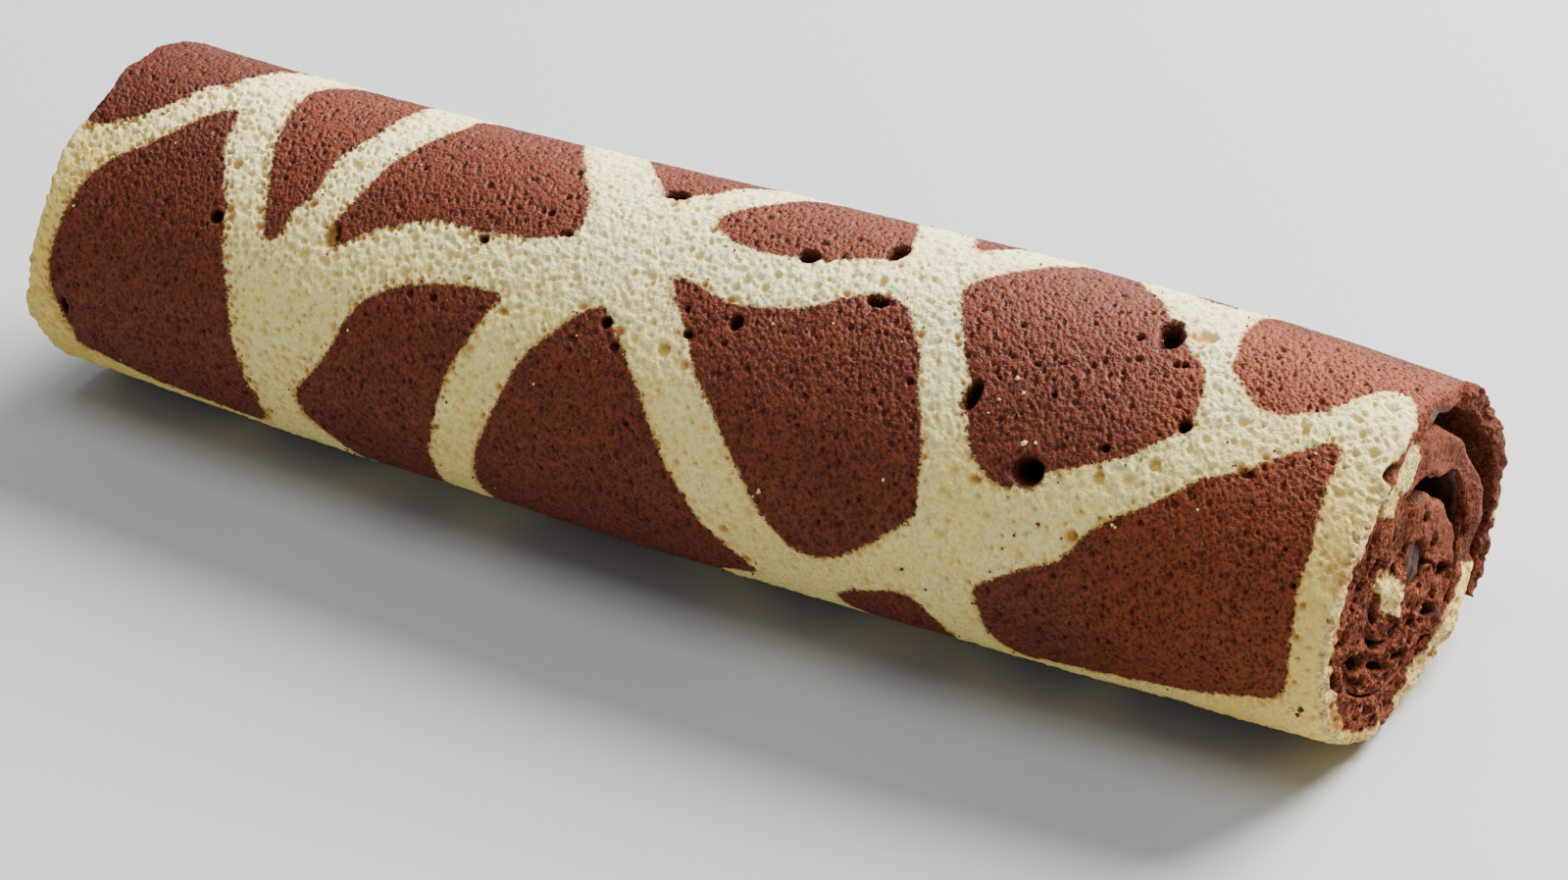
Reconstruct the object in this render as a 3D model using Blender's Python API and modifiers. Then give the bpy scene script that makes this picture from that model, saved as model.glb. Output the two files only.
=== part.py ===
"""Swiss roll cake: a sponge sheet patterned like a giraffe's coat, rolled up round a thin ganache filling.

The sheet is made flat, as it is baked, and rolled up afterwards. A flat place is (x, run, depth): x lies
along the roll, run is the way along the sheet's outer face from its free edge, and depth goes in from that
face. +X is the cut end, +Y the back with the seam, +Z up. The origin is the bottom centre.
"""

import math

import bmesh
import bpy
import numpy as np

MM = 0.001

# The roll.
LENGTH = 300 * MM
HALF_WIDTH = 40.9 * MM
HALF_HEIGHT = 31.9 * MM
CENTRE_HEIGHT = 30.5 * MM  # less than HALF_HEIGHT, so that the roll sags onto a flat base
SAG_LOBES = (0.017, 0.017, -0.018, -0.029)  # shares of cos 1, sin 2, cos 3 and sin 3: lean, shoulders
SWELL_MIDDLE = 0.051  # how much fatter the middle is than the ends
SWELL_RIGHT = 0.065
TAPER = 0.010
BOW_MIDDLE = -3.2 * MM
BOW_RIGHT = 1.0 * MM
LIFT = 0.15  # the share of its radius by which the seam side of the base is drawn up at the cut end
LIFT_ANGLES = (292, 38)  # middle and half width, in degrees
LIFT_START = 100 * MM

# The winding, in degrees turned from +Y, counting on through each turn.
SEAM = -38
TUCK_START = 291
CORE_START = 686
STEPS_PER_TURN = 720
EASING = 14  # steps over which the innermost turn rounds off the bends of the turn outside it
GAP = 0.4 * MM
FILM = 0.9 * MM
FILM_ANGLES = (64, 670)
CORE = 4.8 * MM  # the radius left open inside the last turn, for the ganache core

# Knots (degrees, mm): the sheet's thickness, the hollows left between turns, and the pattern's depth.
THICKNESS = ((-38, 3.4), (-24, 5.0), (45, 5.0), (68, 3.4), (92, 3.2), (118, 3.8), (142, 7.2),
             (180, 8.5), (260, 8.6), (300, 8.8), (318, 10.2), (326, 11.4), (330, 10.5), (334, 8.0),
             (339, 5.8), (346, 5.8), (360, 7.0), (372, 5.8), (386, 5.2), (410, 7.8), (425, 8.8),
             (450, 9.3), (470, 8.6), (690, 8.4), (725, 8.0))
HOLLOWS = ((326, 0), (342, 7.2), (352, 6.4), (364, 5.6), (380, 6.4), (400, 5.0), (412, 4.8),
           (426, 2.8), (440, 0.3), (446, 0), (712, 0), (732, 5.4), (758, 4.0), (772, 3.2),
           (790, 1.9), (816, 1.6), (840, 0))
PATTERN = ((-38, 1.8), (-20, 2.6), (55, 2.4), (70, 1.9), (118, 2.0), (140, 4.2), (200, 4.5), (214, 3.2),
           (256, 3.0), (276, 5.4), (300, 6.0), (315, 8.4), (331, 8.2), (340, 4.0), (448, 4.0), (456, 6.8),
           (488, 6.8), (496, 4.0), (856, 4.0), (874, 9.0), (900, 12.0), (930, 9.0), (948, 4.0))
SEAM_BAND_END = 331
STRIPS = {"vanilla_strip_second_turn": (453, 491), "vanilla_strip_core": (872, 934)}

# Mesh sizes. A flat sheet has even depths, which true_depth turns into the real ones.
FLAT_SHEET = 8.0 * MM
FLAT_PATTERN = 4.0 * MM
CELL = 6.4 * MM
CELLS_ALONG = 6

# The pattern's chocolate patches: corners (x, run) in mm.
FRONT_PATCHES = (
    ((-158, 104), (-145, 102), (-136, 95), (-128, 87), (-122, 74), (-117, 61), (-116, 47), (-124, 35),
     (-158, 33)),
    ((-117, 89), (-111, 101), (-104, 114), (-97, 129), (-90, 146), (-86.5, 155), (-92, 162), (-104, 163),
     (-120, 157), (-136, 154.5), (-140, 147), (-144, 135), (-142, 119), (-137, 109), (-127, 100)),
    ((-107, 65), (-107.5, 77), (-103, 93), (-97, 106), (-92.5, 115.5), (-89, 113), (-86.5, 101), (-84, 87),
     (-84, 73), (-86, 61), (-92, 53), (-101, 53)),
    ((-70, 65), (-70.5, 77), (-75, 93), (-79, 109), (-76.5, 114), (-67, 107), (-56, 102.5), (-40, 100.5),
     (-28, 97), (-25, 93.5), (-32, 85), (-41, 73), (-49, 62), (-56, 49), (-66, 49)),
    ((-64, 122), (-54, 115.5), (-41, 113), (-34, 113.5), (-37, 126), (-41, 141), (-44.5, 155), (-47, 168),
     (-56, 175), (-65, 170), (-68, 160), (-77, 145.5), (-75, 141), (-69, 133)),
    ((-12, 110.5), (-17, 115), (-24, 126), (-30, 142), (-34, 157), (-36, 172), (-26, 180), (-8, 180),
     (14, 172), (33, 157), (27, 150), (12, 135), (-1, 121)),
    ((0, 101), (10, 103), (20, 103), (31, 100.5), (38, 95.5), (46, 94), (54, 100), (61, 112), (66.5, 124),
     (67.5, 131), (61, 138), (50, 145.5), (41, 146.5), (33, 139), (22, 126.5), (10, 114)),
    ((0, 85), (4, 79), (8, 71), (12, 62), (19, 55), (27, 55), (33, 62), (38, 73), (40.5, 81), (36, 85.5),
     (25, 89.5), (14, 91.5), (4, 89)),
    ((-13, 81.5), (-19, 77), (-27, 67), (-34, 56), (-35, 45), (-26, 39), (-12, 42), (-3, 51), (-2, 63),
     (-9, 79)),
    ((51, 73), (47, 67), (42, 57), (36, 46), (40, 36), (51, 35), (61, 43), (60, 55), (56, 68)),
    ((57, 88), (60, 80), (68, 69), (73, 60), (78, 59), (84, 67), (92, 75), (99, 84), (107, 89), (112, 99),
     (108, 108), (98, 115), (88, 122), (79, 123), (72, 116), (64, 102)),
    ((108, 63), (110, 79), (113, 88), (120, 95), (127, 95.5), (134, 90), (140, 82.5), (146, 81.5),
     (151, 89), (160, 95), (160, 25), (140, 22), (122, 28), (111, 43)),
    ((139.5, 98), (132, 103.5), (121, 111), (111, 117.5), (101, 126), (92, 135), (82, 141), (81, 146),
     (83, 155), (89, 160), (103, 158.5), (121, 155), (135, 152), (142, 147.5), (143.5, 136), (142, 117)),
    ((49, 158), (57, 152), (66, 148.5), (71, 152), (74, 160), (70, 171), (58, 174)),
)
BACK_PATCHES = (
    ((-104, 43), (-82, 43), (-77, 33), (-80, 19), (-92, 13), (-105, 17), (-109, 31)),
    ((-58, 37), (-48, 38), (-44, 25), (-50, -3), (-74, -3), (-70, 23)),
    ((-36, 29), (-8, 32), (1, 25), (-2, 9), (-8, -3), (-36, -3), (-40, 13)),
    ((8, 45), (19, 47), (28, 42), (27, 25), (20, 11), (10, 13), (3, 31)),
    ((36, 25), (52, 26), (68, 29), (71, 15), (68, -3), (34, -3), (32, 13)),
    ((70, 45), (80, 50), (91, 60), (99, 65), (104, 55), (102, 39), (92, 28), (76, 31)),
    ((80, 18), (94, 18), (108, 17), (116, 9), (116, -3), (78, -3)),
    ((-141, 22), (-124, 25), (-116, 15), (-118, -3), (-142, -3)),
    ((132, 12), (160, 14), (160, -3), (130, -3)),
)
BASE_PATCHES = (
    ((-142, 171), (-128, 166), (-114, 173), (-110, 185), (-118, 195), (-136, 195), (-144, 185)),
    ((-101, 174), (-86, 169), (-76, 175), (-72, 186), (-80, 195), (-98, 195), (-103, 186)),
    ((-64, 184), (-50, 185), (-42, 183), (-40, 191), (-48, 195), (-62, 194)),
    ((-28, 189), (-10, 189), (8, 183), (13, 189), (4, 195), (-24, 195)),
    ((21, 177), (34, 167), (42, 171), (44, 183), (37, 193), (25, 194), (18, 186)),
    ((55, 184), (68, 181), (80, 171), (90, 168), (94, 177), (87, 189), (74, 195), (58, 194)),
    ((104, 168), (120, 165), (134, 168), (136, 176), (126, 182), (112, 183), (101, 178)),
    ((128, 192), (140, 184), (160, 181), (160, 194), (138, 195)),
)

# Colour, roughness of each material.
FINISHES = {
    "chocolate": ((0.145, 0.045, 0.026), 0.88),
    "vanilla": ((0.80, 0.70, 0.42), 0.85),
    "ganache": ((0.035, 0.014, 0.009), 0.38),
}


def clear_scene():
    for thing in list(bpy.data.objects):
        bpy.data.objects.remove(thing, do_unlink=True)


def smooth(value):
    """0 below 0, 1 above 1, and an even S between them."""
    t = np.clip(value, 0, 1)
    return t * t * (3 - 2 * t)


def through(knots, degrees):
    """A length that passes smoothly through the knots (degrees, mm), with no overshoot."""
    places, heights = np.array(knots, float).T
    widths = np.diff(places)
    rises = np.diff(heights) / widths
    product = rises[1:] * rises[:-1]
    slopes = np.zeros(len(places))
    slopes[1:-1] = np.where(product > 0, 2 * product / (rises[1:] + rises[:-1] + (product <= 0)), 0)
    low = np.clip(np.searchsorted(places, degrees, side="right") - 1, 0, len(widths) - 1)
    width = widths[low]
    t = np.clip((degrees - places[low]) / width, 0, 1)
    leaving = (heights[low] * (1 + 2 * t) + slopes[low] * width * t) * (1 - t) ** 2
    arriving = (heights[low + 1] * (3 - 2 * t) - slopes[low + 1] * width * (1 - t)) * t**2
    return (leaving + arriving) * MM


def outline_radius(angle):
    """The end section: an ellipse with a few low lobes, cut off flat at the base."""
    cosine, sine = np.cos(angle), np.sin(angle)
    ellipse = 1 / np.sqrt((cosine / HALF_WIDTH) ** 2 + (sine / HALF_HEIGHT) ** 2)
    lean, twist, side, top = SAG_LOBES
    lobes = lean * cosine + twist * np.sin(2 * angle) + side * np.cos(3 * angle) + top * np.sin(3 * angle)
    base = CENTRE_HEIGHT / np.maximum(-sine, 0.001)
    return np.minimum(ellipse * (1 + lobes), base)


def thickness_at(degrees, radius):
    """The sheet's thickness. Past CORE_START the last turn closes in on the ganache core."""
    core = smooth((degrees - CORE_START) / 20)
    return through(THICKNESS, degrees) * (1 - core) + (radius - CORE) * core


def filling_room(degrees):
    """The distance kept between a turn and the turn outside it: bare at the flap, then the ganache."""
    film = FILM * smooth((degrees - 360 - FILM_ANGLES[0] + 12) / 12)
    return 2 * GAP + film + through(HOLLOWS, degrees)


def eased(radius, reach):
    """A curve drawn gently inside the given one: the least radius within reach, then the mean."""
    for settle in (np.min, np.mean):
        padded = np.pad(radius, reach, mode="edge")
        radius = settle(np.lib.stride_tricks.sliding_window_view(padded, 2 * reach + 1), axis=1)
    return radius


def wind():
    """The outer face of the sheet as (degrees, radius, run). Each turn lies inside the turn before it."""
    degrees = SEAM + 360 / STEPS_PER_TURN * np.arange(3 * STEPS_PER_TURN)
    outer, second, third = degrees.reshape(3, -1)
    tuck = smooth((outer - TUCK_START) / (SEAM + 360 - TUCK_START))
    seam_room = through(THICKNESS, SEAM) + 2 * GAP
    outer_radius = outline_radius(np.radians(outer)) - tuck * seam_room
    second_radius = outer_radius - thickness_at(outer, outer_radius) - filling_room(second)
    third_radius = second_radius - thickness_at(second, second_radius) - filling_room(third)
    gentle = smooth((third - third[0]) / 40)
    third_radius += (eased(third_radius, EASING) - third_radius) * gentle
    radius = np.concatenate([outer_radius, second_radius, third_radius])
    across, up = radius * np.cos(np.radians(degrees)), radius * np.sin(np.radians(degrees))
    run = np.concatenate([[0], np.cumsum(np.hypot(np.diff(across), np.diff(up)))])
    return degrees, radius, run


DEGREES, RADIUS, RUN = wind()
SHEET_RUN = float(RUN[-1])


def run_at(degrees):
    return float(np.interp(degrees, DEGREES, RUN))


def true_depth(degrees, radius, depth):
    """A flat sheet's even depth made the real one: the pattern's room and the sheet's thickness vary."""
    room = through(PATTERN, degrees)
    thickness = thickness_at(degrees, radius)
    flat = [0, FLAT_PATTERN - GAP, FLAT_PATTERN, FLAT_SHEET]
    real = [0 * room, room - GAP, room, thickness]
    mapped = real[-1] + depth - flat[-1]
    for below in range(len(flat) - 2, -1, -1):
        share = (depth - flat[below]) / (flat[below + 1] - flat[below])
        between = real[below] + share * (real[below + 1] - real[below])
        mapped = np.where(depth < flat[below + 1], between, mapped)
    return mapped


def place(x, angle, radius):
    """A place on the roll: the section, lifted at the cut end's seam side, swells and bows along x."""
    along = x / (LENGTH / 2)
    middle, reach = np.radians(LIFT_ANGLES)
    from_middle = (angle - middle + math.pi) % (2 * math.pi) - math.pi
    hump = np.cos(np.clip(from_middle / reach, -1, 1) * math.pi / 2) ** 2
    end = np.clip((x - LIFT_START) / (LENGTH / 2 - LIFT_START), 0, None)
    lifted = radius * (1 - LIFT * hump * end * radius / HALF_HEIGHT)
    girth = 1 + SWELL_MIDDLE * (1 - along**2) + SWELL_RIGHT * (along - along**3) - TAPER * along
    bow = BOW_MIDDLE * (1 - along**2) + BOW_RIGHT * (along - along**3)
    across = lifted * np.cos(angle) * girth + bow
    up = (lifted * np.sin(angle) + CENTRE_HEIGHT) * girth
    return np.stack([x, across, up], axis=1)


def roll_up(flat):
    """Flat places (x, run, -depth) made places on the roll."""
    degrees = np.interp(flat[:, 1], RUN, DEGREES)
    radius = np.interp(flat[:, 1], RUN, RADIUS)
    return place(flat[:, 0], np.radians(degrees), radius - true_depth(degrees, radius, -flat[:, 2]))


def grown_outline(corners, grow):
    """The closed outline through the corners, with each side moved outwards by grow."""
    points = np.array(corners, float) * MM
    side = np.roll(points, -1, axis=0) - points
    turning = np.sum(points[:, 0] * np.roll(points[:, 1], -1) - points[:, 1] * np.roll(points[:, 0], -1))
    outwards = np.stack([side[:, 1], -side[:, 0]], axis=1) * np.sign(turning)
    outwards /= np.linalg.norm(outwards, axis=1, keepdims=True)
    both = outwards + np.roll(outwards, 1, axis=0)
    share = np.maximum(np.sum(both * outwards, axis=1, keepdims=True), 0.4)
    return points + both / share * grow


def link(name, mesh, collection):
    thing = bpy.data.objects.new(name, mesh)
    collection.objects.link(thing)
    return thing


def settled_mesh(thing):
    """The object's evaluated shape as a mesh of its own, with its caps joined."""
    bpy.context.view_layer.update()
    evaluated = thing.evaluated_get(bpy.context.evaluated_depsgraph_get())
    mesh = bpy.data.meshes.new_from_object(evaluated)
    form = bmesh.new()
    form.from_mesh(mesh)
    bmesh.ops.remove_doubles(form, verts=form.verts, dist=1e-7)
    form.to_mesh(mesh)
    form.free()
    return mesh


def patch_prism(corners, grow, bench):
    """One patch: a flat outline extruded from above the sheet to below the pattern's room."""
    outline = grown_outline(corners, grow)
    above = 1 * MM
    curve = bpy.data.curves.new("patch", "CURVE")
    curve.dimensions = "2D"
    curve.fill_mode = "BOTH"
    curve.extrude = (FLAT_PATTERN + 2 * above) / 2
    spline = curve.splines.new("POLY")
    spline.points.add(len(outline) - 1)
    for point, (x, run) in zip(spline.points, outline):
        point.co = (x, run, 0, 1)
    spline.use_cyclic_u = True
    drawn = link("patch", curve, bench)
    prism = link("patch", settled_mesh(drawn), bench)
    bpy.data.objects.remove(drawn)
    for vertex in prism.data.vertices:
        vertex.co.z -= FLAT_PATTERN / 2
    return prism


def lines(first, last, cell):
    """Even grid lines at whole cells, with the two ends added."""
    inner = [k * cell for k in range(math.ceil(first / cell), math.floor(last / cell) + 1)]
    inside = [line for line in inner if first + cell / 5 < line < last - cell / 5]
    return [first, *inside, last]


def slab(name, runs, depths, bench, overhang=0.0):
    """A flat layer of the sheet between two runs and two depths, gridded along both."""
    run_lines = lines(runs[0], runs[1], CELL)
    x_lines = lines(-LENGTH / 2 - overhang, LENGTH / 2 + overhang, LENGTH / CELLS_ALONG)
    columns, rows = len(x_lines) - 1, len(run_lines) - 1
    mesh = bpy.data.meshes.new(name)
    form = bmesh.new()
    bmesh.ops.create_grid(form, x_segments=columns, y_segments=rows, size=0.5)
    for vertex in form.verts:
        column = round((vertex.co.x + 0.5) * columns)
        row = round((vertex.co.y + 0.5) * rows)
        vertex.co = (x_lines[column], run_lines[row], -depths[0])
    form.to_mesh(mesh)
    form.free()
    layer = link(name, mesh, bench)
    wall = layer.modifiers.new("thickness", "SOLIDIFY")
    wall.thickness = depths[1] - depths[0]
    wall.offset = -1
    thick = link(name, settled_mesh(layer), bench)
    bpy.data.objects.remove(layer)
    return thick


def cut(blank, cutters):
    """Takes the cutters out of the blank, one after another."""
    for number, cutter in enumerate(cutters):
        boolean = blank.modifiers.new(f"cut_{number}", "BOOLEAN")
        boolean.operation = "DIFFERENCE"
        boolean.solver = "EXACT"
        boolean.object = cutter
    mesh = settled_mesh(blank)
    blank.modifiers.clear()
    blank.data = mesh
    return blank


def material(finish):
    colour, roughness = FINISHES[finish]
    made = bpy.data.materials.new(finish)
    made.use_nodes = True
    shader = made.node_tree.nodes["Principled BSDF"]
    shader.inputs["Base Color"].default_value = (*colour, 1)
    shader.inputs["Roughness"].default_value = roughness
    return made


def finish_node(blank, name, finish, mapping, collection):
    """Gives a blank its place on the roll and puts it in the model."""
    mesh = blank.data.copy()
    mesh.name = name
    form = bmesh.new()
    form.from_mesh(mesh)
    bmesh.ops.triangulate(form, faces=form.faces)
    form.to_mesh(mesh)
    flat = np.empty(len(mesh.vertices) * 3)
    mesh.vertices.foreach_get("co", flat)
    mesh.vertices.foreach_set("co", mapping(flat.reshape(-1, 3)).ravel())
    form.clear()
    form.from_mesh(mesh)
    bmesh.ops.recalc_face_normals(form, faces=form.faces)
    form.to_mesh(mesh)
    form.free()
    mesh.shade_smooth()
    mesh.set_sharp_from_angle(angle=math.radians(35))
    mesh.materials.append(material(finish))
    return link(name, mesh, collection)


def core_rod(bench):
    """The ganache core as a straight tube along x, round the middle of the section."""
    curve = bpy.data.curves.new("core", "CURVE")
    curve.dimensions = "3D"
    curve.bevel_depth = CORE - GAP
    curve.bevel_resolution = 2
    curve.use_fill_caps = True
    spline = curve.splines.new("POLY")
    spline.points.add(CELLS_ALONG)
    for number, point in enumerate(spline.points):
        point.co = (LENGTH * (number / CELLS_ALONG - 0.5), 0, 0, 1)
    drawn = link("core", curve, bench)
    rod = link("core", settled_mesh(drawn), bench)
    bpy.data.objects.remove(drawn)
    return rod


def round_core(straight):
    """Places of the straight core rod made places on the roll."""
    x, across, up = straight.T
    return place(x, np.arctan2(up, across), np.hypot(across, up))


def build():
    clear_scene()
    model = bpy.data.collections.new("swiss_roll_cake")
    bench = bpy.data.collections.new("bench")
    for collection in (model, bench):
        bpy.context.scene.collection.children.link(collection)

    patches = FRONT_PATCHES + BACK_PATCHES + BASE_PATCHES
    pattern_end = run_at(SEAM_BAND_END)
    strips = {name: (run_at(first), run_at(last)) for name, (first, last) in STRIPS.items()}
    reach = 4 * MM
    room = slab("room", (-reach, pattern_end + GAP), (-reach, FLAT_PATTERN), bench, reach)
    cut(room, [patch_prism(corners, 0.0, bench) for corners in patches])
    strip_rooms = [
        slab("strip_room", (first - GAP, last + GAP), (-reach, FLAT_PATTERN), bench, reach)
        for first, last in strips.values()
    ]
    sheet = slab("sheet", (0, SHEET_RUN), (0, FLAT_SHEET), bench)
    finish_node(cut(sheet, [room, *strip_rooms]), "chocolate_sponge", "chocolate", roll_up, model)

    web = slab("web", (0, pattern_end), (0, FLAT_PATTERN - GAP), bench)
    cut(web, [patch_prism(corners, GAP, bench) for corners in patches])
    finish_node(web, "vanilla_pattern", "vanilla", roll_up, model)

    for name, runs in strips.items():
        strip = slab(name, runs, (0, FLAT_PATTERN - GAP), bench)
        finish_node(strip, name, "vanilla", roll_up, model)

    film_runs = [run_at(degrees) for degrees in FILM_ANGLES]
    film = slab("film", film_runs, (FLAT_SHEET + GAP, FLAT_SHEET + GAP + FILM), bench)
    finish_node(film, "ganache_filling", "ganache", roll_up, model)
    finish_node(core_rod(bench), "ganache_core", "ganache", round_core, model)

    for helper in list(bench.objects):
        bpy.data.objects.remove(helper)
    bpy.data.collections.remove(bench)


build()
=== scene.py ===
import itertools
import math

import bpy
import numpy as np
from mathutils import Matrix, Vector


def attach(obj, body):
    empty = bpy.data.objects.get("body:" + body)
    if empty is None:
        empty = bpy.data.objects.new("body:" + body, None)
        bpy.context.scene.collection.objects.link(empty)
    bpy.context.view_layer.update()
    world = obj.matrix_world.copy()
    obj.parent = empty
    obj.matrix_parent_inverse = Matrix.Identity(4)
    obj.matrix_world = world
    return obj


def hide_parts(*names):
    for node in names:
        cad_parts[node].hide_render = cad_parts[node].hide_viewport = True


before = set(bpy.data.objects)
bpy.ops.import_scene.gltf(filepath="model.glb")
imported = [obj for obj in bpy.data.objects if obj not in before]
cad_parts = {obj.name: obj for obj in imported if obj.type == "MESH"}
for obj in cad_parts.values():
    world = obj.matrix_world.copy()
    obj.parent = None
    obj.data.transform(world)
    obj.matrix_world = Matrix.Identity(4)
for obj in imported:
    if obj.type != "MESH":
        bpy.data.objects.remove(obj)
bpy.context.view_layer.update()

# A whole swiss roll lying on its seam: a vanilla and chocolate giraffe-coat sponge wound round ganache.
# Lengths are in mm until a mesh is made. +X is the cut end, +Y the back with the seam, +Z up.
# A place on the flat sheet is (x, run, depth): run goes along its outer face from the free edge,
# depth goes in from that face. Degrees follow the winding: 0 at the back, 90 on top, 180 in front.

coarser = 1.0
mm = 0.001
tiny = 1e-12

roll = {
    "halfLength": 150.0,
    "halfWidth": 40.9,
    "halfHeight": 31.9,
    "centreHeight": 30.5,
    "sagLobes": (0.017, 0.017, -0.018, -0.029),  # lean, twist, side and top, as shares of the radius
    "swellMiddle": 0.051,  # extra girth half way along
    "swellRight": 0.065,  # girth added on the way to the cut end and taken off on the way to the other
    "taper": 0.010,  # girth lost at the cut end
    "bowMiddle": -3.2,  # how far the middle stands forward
    "bowRight": 1.0,  # the same on the way to the cut end, towards the back
    "lift": 0.15,  # share of the radius by which the base by the seam rises at the cut end
    "liftAngles": (292, 38),  # where it rises most, and how far either way
    "liftStart": 100.0,
}

sheet = {
    "seam": -38,  # the free edge
    "tuckStart": 291,  # from here on the outer turn draws in, to pass under the free edge
    "coreStart": 686,  # from here on the sheet fills all the room outside the core
    "coreFade": 20,
    "stepsPerTurn": 720,
    "easing": 14,  # steps either way over which the innermost turn is smoothed
    "easingFade": 40,
    "gap": 0.4,  # on both sides of the film
    "film": 0.9,  # room for the ganache
    "filmAngles": (64, 670),
    "filmFade": 12,
    "core": 4.8,
    "seamBandEnd": 331,  # past here the sheet is chocolate alone, but for the two pale strips
    # pairs of degrees and mm; pattern is how deep the vanilla goes
    "thickness": ((-38, 3.4), (-24, 5.0), (45, 5.0), (68, 3.4), (92, 3.2), (118, 3.8), (142, 7.2),
                  (180, 8.5), (260, 8.6), (300, 8.8), (318, 10.2), (326, 11.4), (330, 10.5), (334, 8.0),
                  (339, 5.8), (346, 5.8), (360, 7.0), (372, 5.8), (386, 5.2), (410, 7.8), (425, 8.8),
                  (450, 9.3), (470, 8.6), (690, 8.4), (725, 8.0)),
    "hollows": ((326, 0), (342, 7.2), (352, 6.4), (364, 5.6), (380, 6.4), (400, 5.0), (412, 4.8),
                (426, 2.8), (440, 0.3), (446, 0), (712, 0), (732, 5.4), (758, 4.0), (772, 3.2),
                (790, 1.9), (816, 1.6), (840, 0)),
    "pattern": ((-38, 1.8), (-20, 2.6), (55, 2.4), (70, 1.9), (118, 2.0), (140, 4.2), (200, 4.5),
                (214, 3.2), (256, 3.0), (276, 5.4), (300, 6.0), (315, 8.4), (331, 8.2), (340, 4.0),
                (448, 4.0), (456, 6.8), (488, 6.8), (496, 4.0), (856, 4.0), (874, 9.0), (900, 12.0),
                (930, 9.0), (948, 4.0)),
    "stripSecondTurn": (453, 491),
    "stripCore": (872, 934),
    "lipReach": 1.7,  # how far the rounded free edge stands past the start of the run
}


def smooth(value):
    # 0 below 0, 1 above 1, an even S between
    t = np.clip(value, 0, 1)
    return t * t * (3 - 2 * t)


def through(knots, degrees):
    # a cubic through the knots whose slope at each is the harmonic mean of its sides' slopes
    places, heights = np.array(knots, float).T
    widths = np.diff(places)
    rises = np.diff(heights) / widths
    product = rises[1:] * rises[:-1]
    slopes = np.zeros(len(places))
    slopes[1:-1] = np.where(product > 0, 2 * product / (rises[1:] + rises[:-1] + (product <= 0)), 0)
    low = np.clip(np.searchsorted(places, degrees, side="right") - 1, 0, len(widths) - 1)
    width = widths[low]
    t = np.clip((degrees - places[low]) / width, 0, 1)
    leaving = (heights[low] * (1 + 2 * t) + slopes[low] * width * t) * (1 - t) ** 2
    arriving = (heights[low + 1] * (3 - 2 * t) - slopes[low + 1] * width * (1 - t)) * t**2
    return leaving + arriving


def outlineRadius(angle):
    # an ellipse times one plus four low lobes, cut off level at the base
    cosine, sine = np.cos(angle), np.sin(angle)
    ellipse = 1 / np.sqrt((cosine / roll["halfWidth"]) ** 2 + (sine / roll["halfHeight"]) ** 2)
    lean, twist, side, top = roll["sagLobes"]
    lobes = lean * cosine + twist * np.sin(2 * angle) + side * np.cos(3 * angle) + top * np.sin(3 * angle)
    return np.minimum(ellipse * (1 + lobes), roll["centreHeight"] / np.maximum(-sine, 0.001))


def thicknessAt(degrees, radius):
    # the knots' thickness, which past coreStart gives way to all the room outside the core
    core = smooth((degrees - sheet["coreStart"]) / sheet["coreFade"])
    return through(sheet["thickness"], degrees) * (1 - core) + (radius - sheet["core"]) * core


def fillingRoom(degrees):
    # two gaps, the film where it has begun, and the hollow
    start, fade = sheet["filmAngles"][0], sheet["filmFade"]
    film = sheet["film"] * smooth((degrees - 360 - start + fade) / fade)
    return 2 * sheet["gap"] + film + through(sheet["hollows"], degrees)


def eased(radius, reach):
    # the least value within reach, then the mean within reach
    for settle in (np.min, np.mean):
        padded = np.pad(radius, reach, mode="edge")
        radius = settle(np.lib.stride_tricks.sliding_window_view(padded, 2 * reach + 1), axis=1)
    return radius


def windSheet():
    # three turns, each the turn outside it less its thickness and the room between; run sums the arc
    degrees = sheet["seam"] + 360 / sheet["stepsPerTurn"] * np.arange(3 * sheet["stepsPerTurn"])
    outer, second, third = degrees.reshape(3, -1)
    tuck = smooth((outer - sheet["tuckStart"]) / (sheet["seam"] + 360 - sheet["tuckStart"]))
    seamRoom = through(sheet["thickness"], sheet["seam"]) + 2 * sheet["gap"]
    outerRadius = outlineRadius(np.radians(outer)) - tuck * seamRoom
    secondRadius = outerRadius - thicknessAt(outer, outerRadius) - fillingRoom(second)
    thirdRadius = secondRadius - thicknessAt(second, secondRadius) - fillingRoom(third)
    gentle = smooth((third - third[0]) / sheet["easingFade"])
    thirdRadius = thirdRadius + (eased(thirdRadius, sheet["easing"]) - thirdRadius) * gentle
    radius = np.concatenate([outerRadius, secondRadius, thirdRadius])
    across, up = radius * np.cos(np.radians(degrees)), radius * np.sin(np.radians(degrees))
    run = np.concatenate([[0], np.cumsum(np.hypot(np.diff(across), np.diff(up)))])
    return degrees, radius, run


print("winding the sheet")
windDegrees, windRadius, windRun = windSheet()
sheetRun = float(windRun[-1])


def runAt(degrees):
    # read off the winding, as the two below are
    return float(np.interp(degrees, windDegrees, windRun))


def degreesAt(run):
    # inside the sheet by its winding, past either end at the end's own radius
    before = np.minimum(run, 0) / windRadius[0]
    after = np.maximum(run - sheetRun, 0) / windRadius[-1]
    return np.interp(run, windRun, windDegrees) + np.degrees(before + after)


def radiusAt(run):
    return np.interp(run, windRun, windRadius)


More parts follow.
